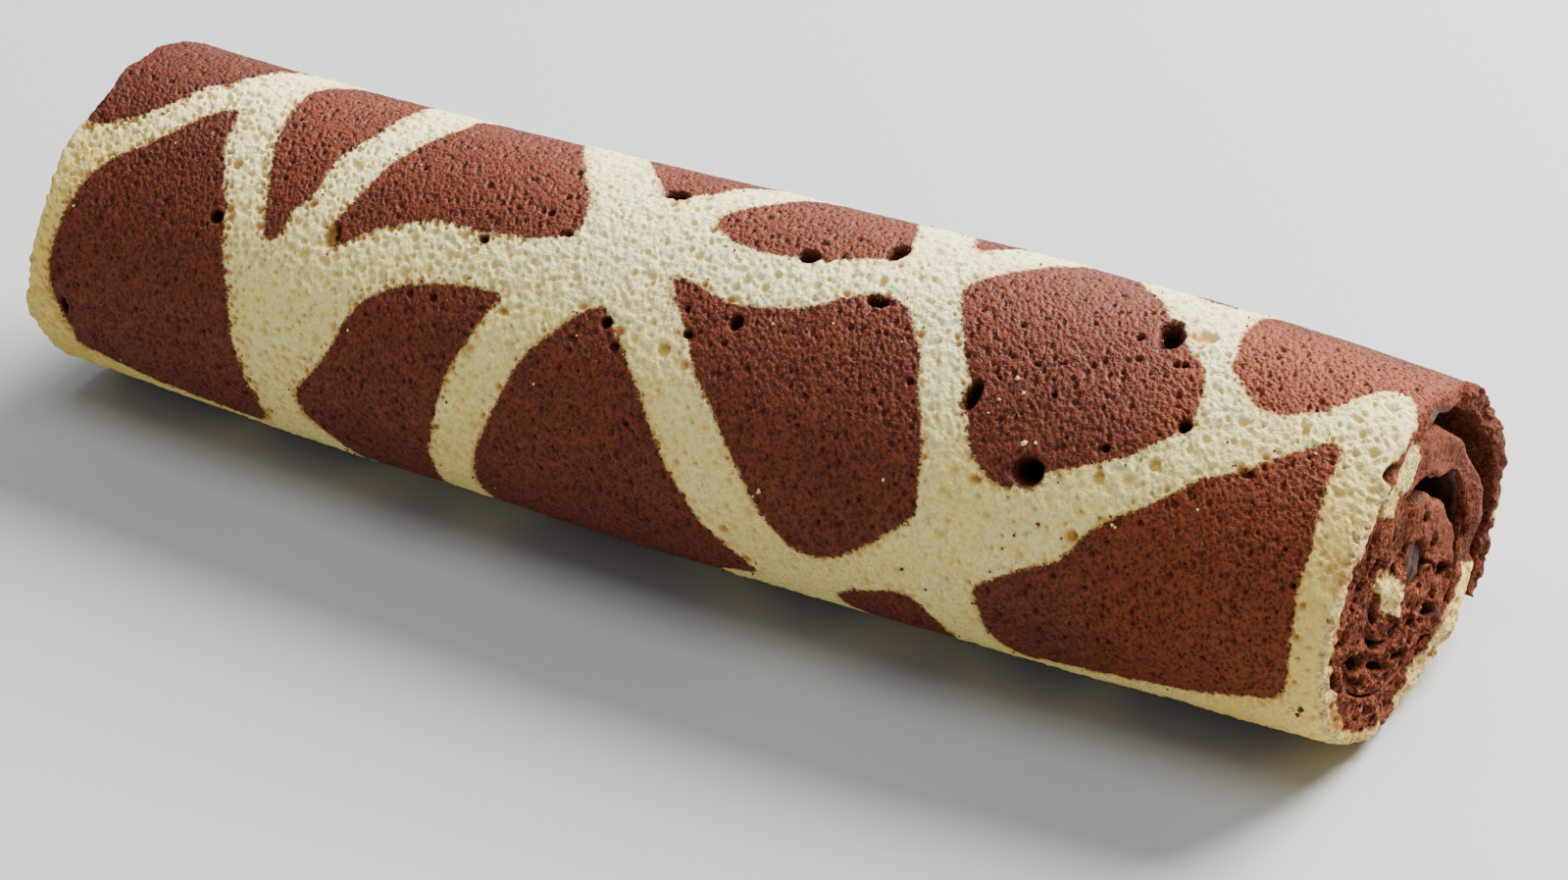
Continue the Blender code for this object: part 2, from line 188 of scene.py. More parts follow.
def bareThickness(run):
    # the sheet's thickness, with the spare room beside a thin film taken up by soft sponge
    roomKept, openHollow, innermost, fade = 0.5, 0.8, 672, 8
    degrees, radius = degreesAt(run), radiusAt(run)
    thick = thicknessAt(degrees, radius)
    hollow = through(sheet["hollows"], degrees + 360)
    room = fillingRoom(degrees + 360) - hollow
    spare = (room - roomKept) * (1 - smooth(hollow / openHollow)) * (1 - smooth((degrees - innermost) / fade))
    return thick + np.clip(spare, 0, None)


def place(x, angle, radius):
    # a polar place in the section, lifted on the seam side at the cut end, then swelled and bowed along x
    along = x / roll["halfLength"]
    middle, reach = np.radians(roll["liftAngles"])
    fromMiddle = (angle - middle + math.pi) % (2 * math.pi) - math.pi
    hump = np.cos(np.clip(fromMiddle / reach, -1, 1) * math.pi / 2) ** 2
    end = np.clip((x - roll["liftStart"]) / (roll["halfLength"] - roll["liftStart"]), 0, None)
    lifted = radius * (1 - roll["lift"] * hump * end * radius / roll["halfHeight"])
    hill, tilt = 1 - along**2, along - along**3
    girth = 1 + roll["swellMiddle"] * hill + roll["swellRight"] * tilt - roll["taper"] * along
    bow = roll["bowMiddle"] * hill + roll["bowRight"] * tilt
    across = lifted * np.cos(angle) * girth + bow
    up = (lifted * np.sin(angle) + roll["centreHeight"]) * girth
    return np.stack(np.broadcast_arrays(x, across, up), axis=-1)


def onRoll(x, run, depth):
    # a place on the flat sheet carried to where the winding puts it
    return place(x, np.radians(degreesAt(run)), radiusAt(run) - depth)


def latticeHash(cells, seed):
    # whole numbers mixed into an even value from 0 to 1, the same in every run
    mixed = np.full(cells[0].shape, (seed * 2654435761 + 12345) % 4294967296, np.uint32)
    for cell, factor in zip(cells, (374761393, 668265263, 3266489917)):
        mixed = mixed ^ (cell.astype(np.int64).astype(np.uint32) * np.uint32(factor))
        mixed = (mixed ^ (mixed >> np.uint32(15))) * np.uint32(2246822519)
        mixed = mixed ^ (mixed >> np.uint32(13))
    return mixed / 4294967296


def lumps(places, size, seed):
    # values at the corners of a lattice, blended smoothly between them, from -1 to 1
    scaled = [axis / size + 0.37 * seed for axis in places]
    low = [np.floor(axis) for axis in scaled]
    share = [smooth(axis - floor) for axis, floor in zip(scaled, low)]
    total = 0
    for corner in itertools.product((0, 1), repeat=len(places)):
        weight = 1
        for part, side in zip(share, corner):
            weight = weight * (part if side else 1 - part)
        total = total + weight * latticeHash([floor + side for floor, side in zip(low, corner)], seed)
    return 2 * total - 1


def turned(a, b, degrees):
    # two axes turned about their origin
    c, s = math.cos(math.radians(degrees)), math.sin(math.radians(degrees))
    return a * c - b * s, a * s + b * c


def bubbles(a, b, size, seed, least=0.22, most=0.5, share=0.8):
    # a round bowl in each cell of a jittered lattice: 1 less the square of the share of the way to its rim
    cellA, cellB = np.floor(a / size), np.floor(b / size)
    deepest = np.zeros(np.shape(a))
    for stepA, stepB in itertools.product((-1, 0, 1), repeat=2):
        cells = [cellA + stepA, cellB + stepB]
        middleA = (cells[0] + 0.5 + 0.8 * (latticeHash(cells, seed) - 0.5)) * size
        middleB = (cells[1] + 0.5 + 0.8 * (latticeHash(cells, seed + 1) - 0.5)) * size
        radius = size * (least + (most - least) * latticeHash(cells, seed + 2) ** 2)
        bowl = 1 - ((a - middleA) ** 2 + (b - middleB) ** 2) / radius**2
        deepest = np.maximum(deepest, np.where(latticeHash(cells, seed + 3) < share, bowl, 0))
    return deepest


# Corners (x, run) of the chocolate patches, each outline drawn as a curve through them.
frontPatches = (
    ((-162, 106), (-150, 102.3), (-147, 102.8), (-140, 98.8), (-137, 96.8), (-131, 90.3), (-128.5, 84.8),
     (-125, 81.8), (-123.5, 77.8), (-122, 72.8), (-121, 64.8), (-117, 52), (-124, 36), (-162, 32)),
    ((-117.5, 88.8), (-121, 90.3), (-124, 93.8), (-127.5, 98.8), (-131, 102.8), (-136, 107.3),
     (-139.5, 111.3), (-141.5, 115.8), (-143, 122.8), (-143.8, 131.8), (-143.2, 137.8), (-141, 142.8),
     (-138.5, 147.8), (-138, 152.3), (-132, 154), (-124, 156.3), (-116, 158), (-104, 160), (-96, 160.5),
     (-91, 158.8), (-88.5, 153.8), (-89, 148.8), (-93, 138.8), (-97, 127.8), (-100, 122.8),
     (-104.5, 112.3), (-107.5, 108.3), (-110, 103.8), (-113.5, 98.8), (-116, 90.8)),
    ((-105, 64.8), (-108, 73.8), (-107, 79.8), (-105.5, 85.8), (-103, 93.8), (-100, 100.8), (-98, 104.8),
     (-95, 110.8), (-93, 114.8), (-90.5, 115.8), (-89, 112.8), (-89.5, 109.8), (-87.5, 105.8),
     (-86.5, 101.8), (-87, 94.8), (-85.5, 89.8), (-84, 84.8), (-83.5, 76.8), (-84, 68.8), (-86, 61.8),
     (-90, 54), (-98, 52), (-103, 56)),
    ((-70.5, 64.8), (-69.5, 71.8), (-70.5, 77.8), (-72.5, 84.8), (-75, 91.8), (-76, 97.8), (-77.5, 104.8),
     (-78.5, 108.8), (-76.5, 113.3), (-73, 111.3), (-69, 107.8), (-64, 105.3), (-60, 103.3),
     (-55, 101.8), (-48, 101.8), (-35, 100.8), (-31, 99.8), (-26.5, 97.3), (-25.5, 93.8), (-29, 86.8),
     (-33, 82.3), (-36, 77.8), (-41, 71.8), (-45, 64.8), (-49, 58.8), (-55, 50), (-65, 50)),
    ((-34, 113.8), (-37, 113.3), (-46, 114.3), (-52, 115.8), (-58, 117.8), (-62, 120.8), (-65, 123.8),
     (-67, 128.8), (-69, 133.8), (-72, 138.3), (-75.5, 142.3), (-77, 145.8), (-75.5, 149.8),
     (-72, 153.3), (-69, 157.8), (-65, 168), (-56, 174), (-48, 168), (-44.5, 153.8), (-44, 148.8),
     (-42, 142.8), (-39.5, 130.8), (-37.5, 124.8), (-34.5, 115.8)),
    ((-11.5, 110.8), (-15, 112.8), (-19, 117.8), (-23, 122.8), (-25.5, 128.8), (-27.5, 134.8),
     (-30, 140.8), (-32.5, 147.8), (-34, 154.8), (-34, 159.8), (-35, 172), (-26, 180), (-8, 180),
     (12, 172), (22, 160.8), (27, 158.3), (31, 156.3), (30, 153.3), (27, 150.3), (22, 145.8),
     (17, 140.3), (12, 134.8), (8, 129.8), (4, 124.8), (0, 120.8), (-4, 116.8), (-9, 112.3)),
    ((0, 101.3), (5, 101.3), (10, 102.8), (15, 103.3), (20, 102.8), (27, 101.3), (32, 99.3), (36, 96.3),
     (40, 94.8), (45, 93.8), (49, 95.3), (52, 98.3), (56, 103.3), (58.5, 108.8), (62, 114.8),
     (65, 120.8), (66.5, 126.8), (67.5, 131.8), (65.5, 134.8), (62, 137.3), (58.5, 140.3),
     (54, 143.3), (50, 145.3), (45, 146.3), (41, 145.3), (38, 142.8), (34, 138.8), (30, 134.3),
     (26, 130.3), (21, 124.8), (16, 120.3), (12, 116.3), (9.5, 112.3), (5, 107.8), (1.5, 103.8)),
    ((0.5, 84.8), (1, 81.8), (3.5, 77.8), (7, 72.8), (9.5, 66.8), (12, 60.5), (19, 54.5), (26, 54.5),
     (31, 58.8), (33.5, 64.8), (36, 69.8), (38.5, 74.8), (40, 78.8), (40, 82.8), (36.5, 85.3),
     (32, 86.8), (27, 88.8), (21, 90.3), (15, 90.8), (8, 90.3), (5, 88.8), (1.5, 87.3)),
    ((-31, 61.8), (-29, 64.8), (-25, 70.3), (-20.5, 74.8), (-18, 77.8), (-15, 80.3), (-12.5, 80.8),
     (-10, 78.8), (-6, 74.8), (-5, 70.8), (-2.5, 67.8), (-1, 63.8), (-2, 52), (-12, 42), (-26, 39),
     (-34, 46), (-34, 56)),
    ((46.5, 64.8), (48.5, 68.8), (50, 71.8), (52, 72.8), (54.5, 70.3), (55, 67.3), (56, 62), (59, 53),
     (60, 43), (50, 35), (40, 37), (36, 46), (41, 57)),
    ((57, 86.8), (58, 83.8), (62, 78.8), (65, 74.8), (67, 70.8), (69, 66.8), (69, 61), (74, 58.5),
     (80, 61.8), (84, 66.8), (87, 70.3), (91, 73.3), (94, 76.8), (97, 80.3), (100.5, 83.5), (104, 86.8),
     (107.5, 89.3), (109.5, 91.8), (111, 95.8), (112, 99.8), (111.5, 103.3), (110, 105.8),
     (107, 108.8), (104, 111.8), (99, 114.8), (95, 116.8), (90, 119.3), (84, 123.3), (80, 122.8),
     (76, 120.3), (73.5, 117.8), (71.5, 114.3), (68, 105.8), (65.5, 102.8), (63, 98.8), (61, 95.8),
     (59, 92.3), (57, 89.3)),
    ((109, 64.8), (109.5, 70.8), (110, 75.8), (111, 80.8), (112.5, 84.8), (113.5, 88.8), (116, 90.3),
     (119, 93.3), (122, 95.3), (127, 95.3), (130, 93.3), (133, 91.8), (136, 88.3), (138, 84.8),
     (141, 81.3), (144, 80.3), (147, 82.3), (149.5, 85.8), (153, 88), (162, 90), (162, 24), (140, 22),
     (122, 28), (112, 42)),
    ((137, 98.3), (139, 97.8), (140.5, 99.8), (140.5, 104.8), (141.5, 112.8), (142.5, 118.8),
     (142.5, 126.8), (143.5, 132.8), (143.5, 142.8), (142.5, 146.8), (140, 149.3), (135, 150.8),
     (130, 152.3), (124, 154.3), (118, 155.3), (110, 156.8), (100, 157.8), (93, 158.8), (88.5, 160.3),
     (85, 157.3), (83, 153.8), (82, 148.8), (81, 144.8), (81.5, 142.3), (85, 139.8), (91, 136.3),
     (97, 133.3), (100, 129.3), (104, 124.8), (110, 120.3), (115, 115.8), (119, 111.8), (124, 109.3),
     (128, 105.8), (133, 101.3)),
    ((49.5, 157.8), (50, 154.8), (54, 152.3), (58, 150.8), (62, 149.3), (66, 148.8), (69, 150.8),
     (71, 154.3), (72, 157.8), (72, 165), (66, 172), (57, 171), (51, 164)),
)
backPatches = (
    ((-104, 43), (-82, 43), (-77, 33), (-80, 19), (-92, 13), (-105, 17), (-109, 31)),
    ((-58, 37), (-48, 38), (-44, 25), (-50, -5), (-74, -5), (-70, 23)),
    ((-36, 29), (-8, 32), (1, 25), (-2, 9), (-8, -5), (-36, -5), (-40, 13)),
    ((8, 45), (19, 47), (28, 42), (27, 25), (20, 11), (10, 13), (3, 31)),
    ((36, 25), (52, 26), (68, 29), (71, 15), (68, -5), (34, -5), (32, 13)),
    ((70, 45), (80, 50), (91, 60), (99, 65), (104, 55), (102, 39), (92, 28), (76, 31)),
    ((80, 18), (94, 18), (108, 17), (116, 9), (116, -5), (78, -5)),
    ((-141, 22), (-124, 25), (-116, 15), (-118, -5), (-142, -5)),
    ((132, 12), (162, 14), (162, -5), (130, -5)),
)
basePatches = (
    ((-142, 171), (-128, 166), (-114, 173), (-110, 185), (-118, 195), (-136, 195), (-144, 185)),
    ((-101, 174), (-86, 169), (-76, 175), (-72, 186), (-80, 195), (-98, 195), (-103, 186)),
    ((-64, 184), (-50, 185), (-42, 183), (-40, 191), (-48, 195), (-62, 194)),
    ((-28, 189), (-10, 189), (8, 183), (13, 189), (4, 195), (-24, 195)),
    ((21, 177), (34, 167), (42, 171), (44, 183), (37, 193), (25, 194), (18, 186)),
    ((55, 184), (68, 181), (80, 171), (90, 168), (94, 177), (87, 189), (74, 195), (58, 194)),
    ((104, 168), (120, 165), (134, 168), (136, 176), (126, 182), (112, 183), (101, 178)),
    ((128, 192), (140, 184), (162, 181), (162, 194), (138, 195)),
)


def curveThrough(corners, steps=4):
    # a closed curve of cubics whose slope at each corner is half the chord between its neighbours
    points = np.array(corners, float)
    before, after, later = np.roll(points, 1, 0), np.roll(points, -1, 0), np.roll(points, -2, 0)
    t = (np.arange(steps) / steps)[None, :, None]
    p0, p1, p2, p3 = (part[:, None, :] for part in (before, points, after, later))
    curve = 0.5 * (2 * p1 + (p2 - p0) * t + (2 * p0 - 5 * p1 + 4 * p2 - p3) * t**2
                   + (3 * p1 - p0 - 3 * p2 + p3) * t**3)
    return curve.reshape(-1, 2)


patchReach = 6.0  # mm from a border over which its distance is worked out
patchOutlines = [curveThrough(patch) for patch in frontPatches + backPatches + basePatches]


def insideBy(a, b, outline):
    # signed distance to a closed outline: above 0 inside, held at -patchReach well outside
    result = np.full(np.shape(a), -patchReach)
    low, high = outline.min(axis=0) - patchReach, outline.max(axis=0) + patchReach
    near = (a > low[0]) & (a < high[0]) & (b > low[1]) & (b < high[1])
    pa, pb = a[near], b[near]
    nearest = np.full(len(pa), np.inf)
    inside = np.zeros(len(pa), bool)
    for (a0, b0), (a1, b1) in zip(outline, np.roll(outline, -1, 0)):
        sideA, sideB = a1 - a0, b1 - b0
        t = np.clip(((pa - a0) * sideA + (pb - b0) * sideB) / (sideA**2 + sideB**2 + tiny), 0, 1)
        nearest = np.minimum(nearest, (pa - a0 - t * sideA) ** 2 + (pb - b0 - t * sideB) ** 2)
        crossing = (b0 > pb) != (b1 > pb)
        inside ^= crossing & (pa < (pb - b0) * sideA / (sideB if sideB else tiny) + a0)
    result[near] = np.where(inside, 1, -1) * np.sqrt(nearest)
    return np.maximum(result, -patchReach)


def insidePatch(x, run):
    # how far inside the nearest chocolate patch, in mm, below 0 on the vanilla web
    best = np.full(np.shape(x), -patchReach)
    for outline in patchOutlines:
        best = np.maximum(best, insideBy(x, run, outline))
    return best


def gridNormals(points):
    # the cross product of the steps along both ways of the grid
    along = np.gradient(points, axis=0)
    across = np.gradient(points, axis=1)
    normal = np.cross(along, across)
    return normal / np.maximum(np.linalg.norm(normal, axis=-1, keepdims=True), tiny)


def cornersOf(grid):
    # the four corners of each cell, in order round it
    return np.stack([grid[:-1, :-1], grid[1:, :-1], grid[1:, 1:], grid[:-1, 1:]], axis=-1)


def gridCells(rows, columns, flip):
    # each cell's four point numbers, turned the other way round when flipped
    cells = cornersOf(np.arange(rows * columns).reshape(rows, columns))
    return cells[..., ::-1] if flip else cells


def welded(points, normals, fields, cells):
    # places within half a thousandth of a mm made one, with the mean of their normals
    keys = np.round(points * 2000).astype(np.int64)
    _, first, index = np.unique(keys, axis=0, return_index=True, return_inverse=True)
    index = index.reshape(-1)
    total = np.stack([np.bincount(index, weights=normals[:, k]) for k in range(3)], axis=1)
    total /= np.maximum(np.linalg.norm(total, axis=1, keepdims=True), tiny)
    return points[first], total, {name: values[first] for name, values in fields.items()}, index[cells]


finishes = {}  # by slot, filled where each finish is made


def makePiece(name, points, normals, cells, fields, slot, node):
    # a mesh of four-sided cells, its unused points dropped, with the fields as attributes;
    # a cell with two corners in one place becomes a triangle, and a flatter one is left out
    used, corners = np.unique(cells, return_inverse=True)
    corners = corners.reshape(-1, 4)
    twin = np.stack([corners[:, k] == corners[:, (k + 1) % 4] for k in range(4)], axis=1)
    folded = (corners[:, 0] == corners[:, 2]) | (corners[:, 1] == corners[:, 3])
    whole = (twin.sum(axis=1) <= 1) & ~folded
    corners, keep = corners[whole], ~twin[whole]
    sizes = keep.sum(axis=1)
    loops = corners[keep]
    mesh = bpy.data.meshes.new(name)
    mesh.vertices.add(len(used))
    mesh.vertices.foreach_set("co", (points[used] * mm).astype(np.float32).ravel())
    mesh.loops.add(len(loops))
    mesh.loops.foreach_set("vertex_index", loops.astype(np.int32))
    mesh.polygons.add(len(corners))
    starts = np.concatenate([[0], np.cumsum(sizes)[:-1]])
    mesh.polygons.foreach_set("loop_start", starts.astype(np.int32))
    mesh.polygons.foreach_set("use_smooth", np.ones(len(corners), bool))
    mesh.update(calc_edges=True)
    mesh.normals_split_custom_set_from_vertices(normals[used])
    for title, values in fields.items():
        layer = mesh.attributes.new(title, "FLOAT", "POINT")
        layer.data.foreach_set("value", values[used].astype(np.float32))
    mesh.materials.append(finishes[slot])
    piece = bpy.data.objects.new(name, mesh)
    bpy.context.scene.collection.objects.link(piece)
    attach(piece, "root")
    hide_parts(node)
    print(f"{name}: {int((sizes - 2).sum())} triangles")


# Bubbles that broke through the skin: (x, run, half width, half length, depth) in mm.
brownHoles = (
    (99.4, 85.2, 2.5, 3.2, 4.5), (97.9, 82.4, 2.2, 2.8, 4.0), (70, 108.8, 1.6, 3.5, 4.0),
    (86.5, 119.8, 3.2, 2.9, 4.5), (39, 81.8, 2.2, 2.9, 3.4), (23.5, 88.8, 2.3, 1.7, 3.0),
    (42.5, 95.3, 2.5, 1.4, 2.6), (17.5, 107.0, 1.5, 1.8, 3.0), (-13, 79.3, 3.0, 1.8, 2.4),
    (-9, 113.6, 1.3, 1.4, 2.0), (-106, 114.3, 1.8, 1.6, 1.8), (111, 103.3, 1.4, 1.6, 2.4),
    (99, 111.8, 0.9, 0.9, 1.8), (103.5, 91.3, 0.8, 0.8, 1.3), (105, 90.8, 0.8, 0.8, 1.3),
    (94, 87.3, 1.0, 1.0, 1.1), (6.3, 106.8, 0.7, 0.7, 1.4), (57, 109.5, 0.8, 0.8, 1.0),
    (-33.5, 93.8, 0.9, 0.9, 1.0), (-27, 97.5, 1.0, 0.6, 1.2), (-35.5, 80.8, 0.8, 0.8, 1.0),
    (138, 120.3, 0.5, 0.5, 0.9), (141.5, 126.3, 0.7, 0.7, 0.9), (-139.5, 142.8, 1.2, 2.5, 1.4),
    (9, 111.8, 1.2, 0.8, 1.4), (-5, 117.8, 1.1, 1.1, 1.0), (-48.5, 117.8, 0.9, 0.9, 1.0),
    (-54, 118.3, 0.8, 0.8, 0.9), (-44, 103.3, 1.2, 1.0, 1.3), (79, 99.5, 0.7, 0.6, 0.7),
    (89, 96.5, 0.7, 0.7, 0.7), (85, 104.5, 0.7, 0.8, 0.7),
)
paleHoles = (
    (125.5, 108.8, 2.0, 1.0, 1.4), (-77.5, 111.3, 2.0, 3.0, 2.2), (5.5, 115.8, 1.5, 1.6, 1.7),
    (-32, 116.8, 1.2, 1.0, 1.4), (41, 90.8, 1.0, 1.3, 1.0), (77, 123.8, 1.4, 1.0, 1.4),
    (109, 112.3, 1.2, 1.5, 1.5), (132, 96.8, 0.9, 1.2, 1.3), (100, 117.3, 1.1, 1.4, 1.4),
    (98.5, 128.8, 1.5, 1.5, 1.3), (26.5, 145.8, 1.2, 1.0, 1.3), (-108, 101.8, 1.3, 1.3, 1.5),
    (-85.5, 105.8, 1.0, 1.0, 1.1), (-112.5, 92.8, 0.9, 0.9, 1.0), (105, 82.5, 2.4, 2.2, 1.3),
)

skinLook = {
    "pitchAlong": 0.36,
    "pitchFront": 0.36,
    "pitchRear": 0.72,
    "frontRuns": (54, 172),
    "endBand": 4.0,  # width of the band at each end that belongs to the cut end's grid
    "wave": 0.34,
    "chocolatePit": 0.33,
    "rarePit": 0.8,
    "vanillaPit": 0.85,
    "brownFuzz": 0.05,
    "paleFuzz": 0.17,
    # sets of pits: spacing, seed, least and greatest radius by spacing, and the share of places that have one
    "brownPits": ((1.25, 11, 0.22, 0.5, 0.85), (0.95, 15, 0.3, 0.5, 0.7)),
    "rarePits": ((5.2, 19, 0.08, 0.17, 0.45), (2.7, 51, 0.13, 0.25, 0.55)),
    "palePits": ((3.9, 23, 0.12, 0.34, 0.65), (2.2, 27, 0.2, 0.48, 0.7), (1.15, 31, 0.34, 0.54, 0.6)),
    "borderPits": (1.6, 45, 0.24, 0.5, 0.7),
}


def holeShare(x, run, hole):
    # the points near a burst bubble, and how far each is from its middle: 1 on its ragged rim
    holeX, holeRun, halfX, halfRun = hole[:4]
    near = (np.abs(x - holeX) < 2 * halfX) & (np.abs(run - holeRun) < 2 * halfRun)
    away = np.hypot((x[near] - holeX) / halfX, (run[near] - holeRun) / halfRun)
    return near, away + 0.06 * lumps((x[near], run[near]), 1.3, 37)


def brownedHoles(x, run, cocoa):
    # the burst bubbles of the chocolate stay brown where they reach into the vanilla
    cocoa = np.array(cocoa)
    for hole in brownHoles:
        near, away = holeShare(x, run, hole)
        cocoa[near] = np.maximum(cocoa[near], (1.12 - away) * min(hole[2], hole[3]))
    return cocoa


def skinRelief(x, run, cocoa):
    # height of the skin: broad waves and fuzz, less small pits in the chocolate, soft bowls in the vanilla
    # and the burst bubbles; also how deep in a pit a place is, and how dark its painted shade is
    look = skinLook
    chocolate = smooth((cocoa + 0.4) / 0.8)
    a, b = turned(x, run, 31)
    c, d = turned(x, run, 67)
    height = look["wave"] * (lumps((x, run), 31, 1) + 0.45 * lumps((a, b), 11, 2))
    fuzz = 0.35 * lumps((x, run), 2.3, 36) + lumps((a, b), 1.2, 3) + 0.6 * lumps((c, d), 0.75, 4)
    height = height + (look["paleFuzz"] + (look["brownFuzz"] - look["paleFuzz"]) * chocolate) * fuzz
    close, closer = look["brownPits"]
    brownPits = np.maximum(bubbles(a, b, *close), 0.7 * bubbles(c, d, *closer))
    wide, narrow = look["rarePits"]
    rarePits = np.maximum(bubbles(x, run, *wide), bubbles(a, d, *narrow))
    # the vanilla has more pits towards the far end and beside the chocolate
    sway = 0.35 * lumps((x, run), 1.9, 38)
    leftward = smooth((-x - 20) / 40)
    wide, narrow, finest = look["palePits"]
    narrowShare = 0.5 + 0.35 * leftward
    palePits = np.maximum(bubbles(a + sway, b, *wide), narrowShare * bubbles(c, d + sway, *narrow))
    palePits = np.maximum(palePits, 0.2 * bubbles(x, run, *finest))
    nearBorder = smooth((cocoa + 3.0) / 1.2) * (0.35 + 0.65 * leftward)
    palePits = np.maximum(palePits, nearBorder * bubbles(c, d, *look["borderPits"]))
    height = height - chocolate * (look["chocolatePit"] * brownPits + look["rarePit"] * rarePits)
    height = height - (1 - chocolate) * look["vanillaPit"] * palePits
    pit = chocolate * np.maximum(0.7 * brownPits, rarePits) + (1 - chocolate) * palePits
    dark, sunk = np.zeros(np.shape(x)), np.zeros(np.shape(x))
    for hole in brownHoles + paleHoles:
        near, away = holeShare(x, run, hole)
        bowl = smooth((1.08 - away) / 0.55)
        deepest = min(hole[4], float(bareThickness(np.array(hole[1]))) - 1.0)
        sunk[near] = np.maximum(sunk[near], deepest * bowl)
        shade = bowl * min(hole[4] / 1.6, 1) * (1 if hole in brownHoles else 0.35)
        dark[near] = np.maximum(dark[near], shade)
        pit[near] = np.maximum(pit[near], bowl)
    return height * (1 - 0.6 * smooth(sunk)) - sunk, pit, dark


def stretch(first, last, pitch):
    # even steps from first to last, as near to the pitch as they come
    return np.linspace(first, last, max(2, round(abs(last - first) / pitch) + 1))


lipRows = -sheet["lipReach"] * np.cos(np.radians(np.linspace(0, 90, 9)[:-1]))
front0, front1 = skinLook["frontRuns"]
turnEnd = runAt(sheet["seam"] + 360)
firstRuns = np.concatenate([
    lipRows,
    stretch(0, front0, skinLook["pitchRear"] * coarser)[:-1],
    stretch(front0, front1, skinLook["pitchFront"] * coarser)[:-1],
    stretch(front1, turnEnd, skinLook["pitchRear"] * coarser),
])
bandEdge = roll["halfLength"] - skinLook["endBand"]
skinX = stretch(-bandEdge, bandEdge, skinLook["pitchAlong"] * coarser)


def openShare(run):
    # 1 along the sheet, closing as a half ellipse to 0 at its two ends
    beyond = np.maximum(-run, run - sheetRun) / sheet["lipReach"]
    return np.sqrt(1 - np.clip(beyond, 0, 1) ** 2)


def calm(run):
    # relief dies away towards the sheet's two ends and where the outer grid meets the inner one
    return openShare(run) * smooth(np.abs(run - turnEnd) / 1.5)


def faceDepth(run, way):
    # depth of the sheet's outer face for -1 and of its inner one for 1, which meet at its rounded ends
    return bareThickness(np.clip(run, 0, sheetRun)) / 2 * (1 + way * openShare(run))


def patchCocoa(x, run):
    # how far inside the chocolate on the baked face
    return np.clip(insidePatch(x, run), -patchReach, patchReach)


def webCocoa(x, run, depth):
    # above 0 in chocolate: outside the web's outline or below the web's depth
    room = through(sheet["pattern"], degreesAt(run))
    web = np.minimum(-insidePatch(x, run), room - depth)
    return -np.minimum(web, runAt(sheet["seamBandEnd"]) - run)


print("making the skin")
gridRun, gridX = np.meshgrid(firstRuns, skinX, indexing="ij")
skinCocoa = brownedHoles(gridX, gridRun, patchCocoa(gridX, gridRun))
skinHeight, skinPit, skinDark = skinRelief(gridX, gridRun, skinCocoa)
skinPoints = onRoll(gridX, gridRun, faceDepth(gridRun, -1) - skinHeight * calm(gridRun))
skinNormals = gridNormals(skinPoints)
skinFields = {"cocoa": skinCocoa, "pit": skinPit, "dark": skinDark}
print("skin grid", skinPoints.shape)


endLook = {
    "pitchInner": 0.5,
    "deepX": (0, 45, 80, 105, 122, 132, 138, 141, 143, 144.6),  # columns of the hidden turns' grids
    "bandX": (146, 146.6, 147.2, 147.8),  # continued to the corner's start
    "cornerSteps": 6,
    "faceSteps": 20,
    "corner": 0.9,  # radius of the rounded rim, and what the pale rim in front adds to it
    "paleCorner": 1.1,
    "paleAngles": (80, 20, 262, 10),  # degrees where that starts and over how many, and the same for its end
    "secondCorner": 1.6,  # from the second turn on
    "secondStart": 322,
    "innerCorner": 0.8,
    "cornerShare": 0.45,  # of the thickness at most
    "chunkStart": 235,  # the pale chunk underneath lies past here
    "tornLeast": 0.12,
    "teeth": 1.5,  # how far the flap's edge is torn back
    "teethEnd": (48, 22),  # degrees where the teeth start to fade, and over how many
}

# the rows shared with the coarser inner grids run straight between those grids' columns
deepColumns = {side * deep for deep in endLook["deepX"] for side in (-1, 1)}
innerColumns = np.array(sorted(deepColumns | {-bandEdge, bandEdge}))
for row in (0, -1):
    borderRun = np.full(len(innerColumns), firstRuns[row])
    knots = onRoll(innerColumns, borderRun, faceDepth(borderRun, -1))
    skinPoints[row] = np.stack([np.interp(skinX, innerColumns, knots[:, k]) for k in range(3)], axis=-1)


def crumbRelief(side, a, b, torn):
    # torn crumb: broad lumps, then ever finer ones, less open bubbles; a and b are mm across the face
    seed = 200 if side > 0 else 300
    c, d = turned(a, b, 37)
    height = 0.9 * lumps((a, b), 9, seed) + 0.55 * lumps((c, d), 4.2, seed + 1)
    height = height + torn * (0.5 * lumps((a, b), 2.1, seed + 2) + 0.3 * lumps((c, d), 1.1, seed + 3))
    height = height + 0.12 * lumps((c, d), 0.7, seed + 4)
    wide = bubbles(a, b, 5.5, seed + 5, 0.12, 0.32, 0.6)
    narrow = bubbles(c, d, 2.6, seed + 9, 0.2, 0.42, 0.6)
    height = height - torn * (1.9 * wide + 0.8 * narrow)
    return height, np.clip(torn * np.maximum(wide, 0.6 * narrow), 0, 1)


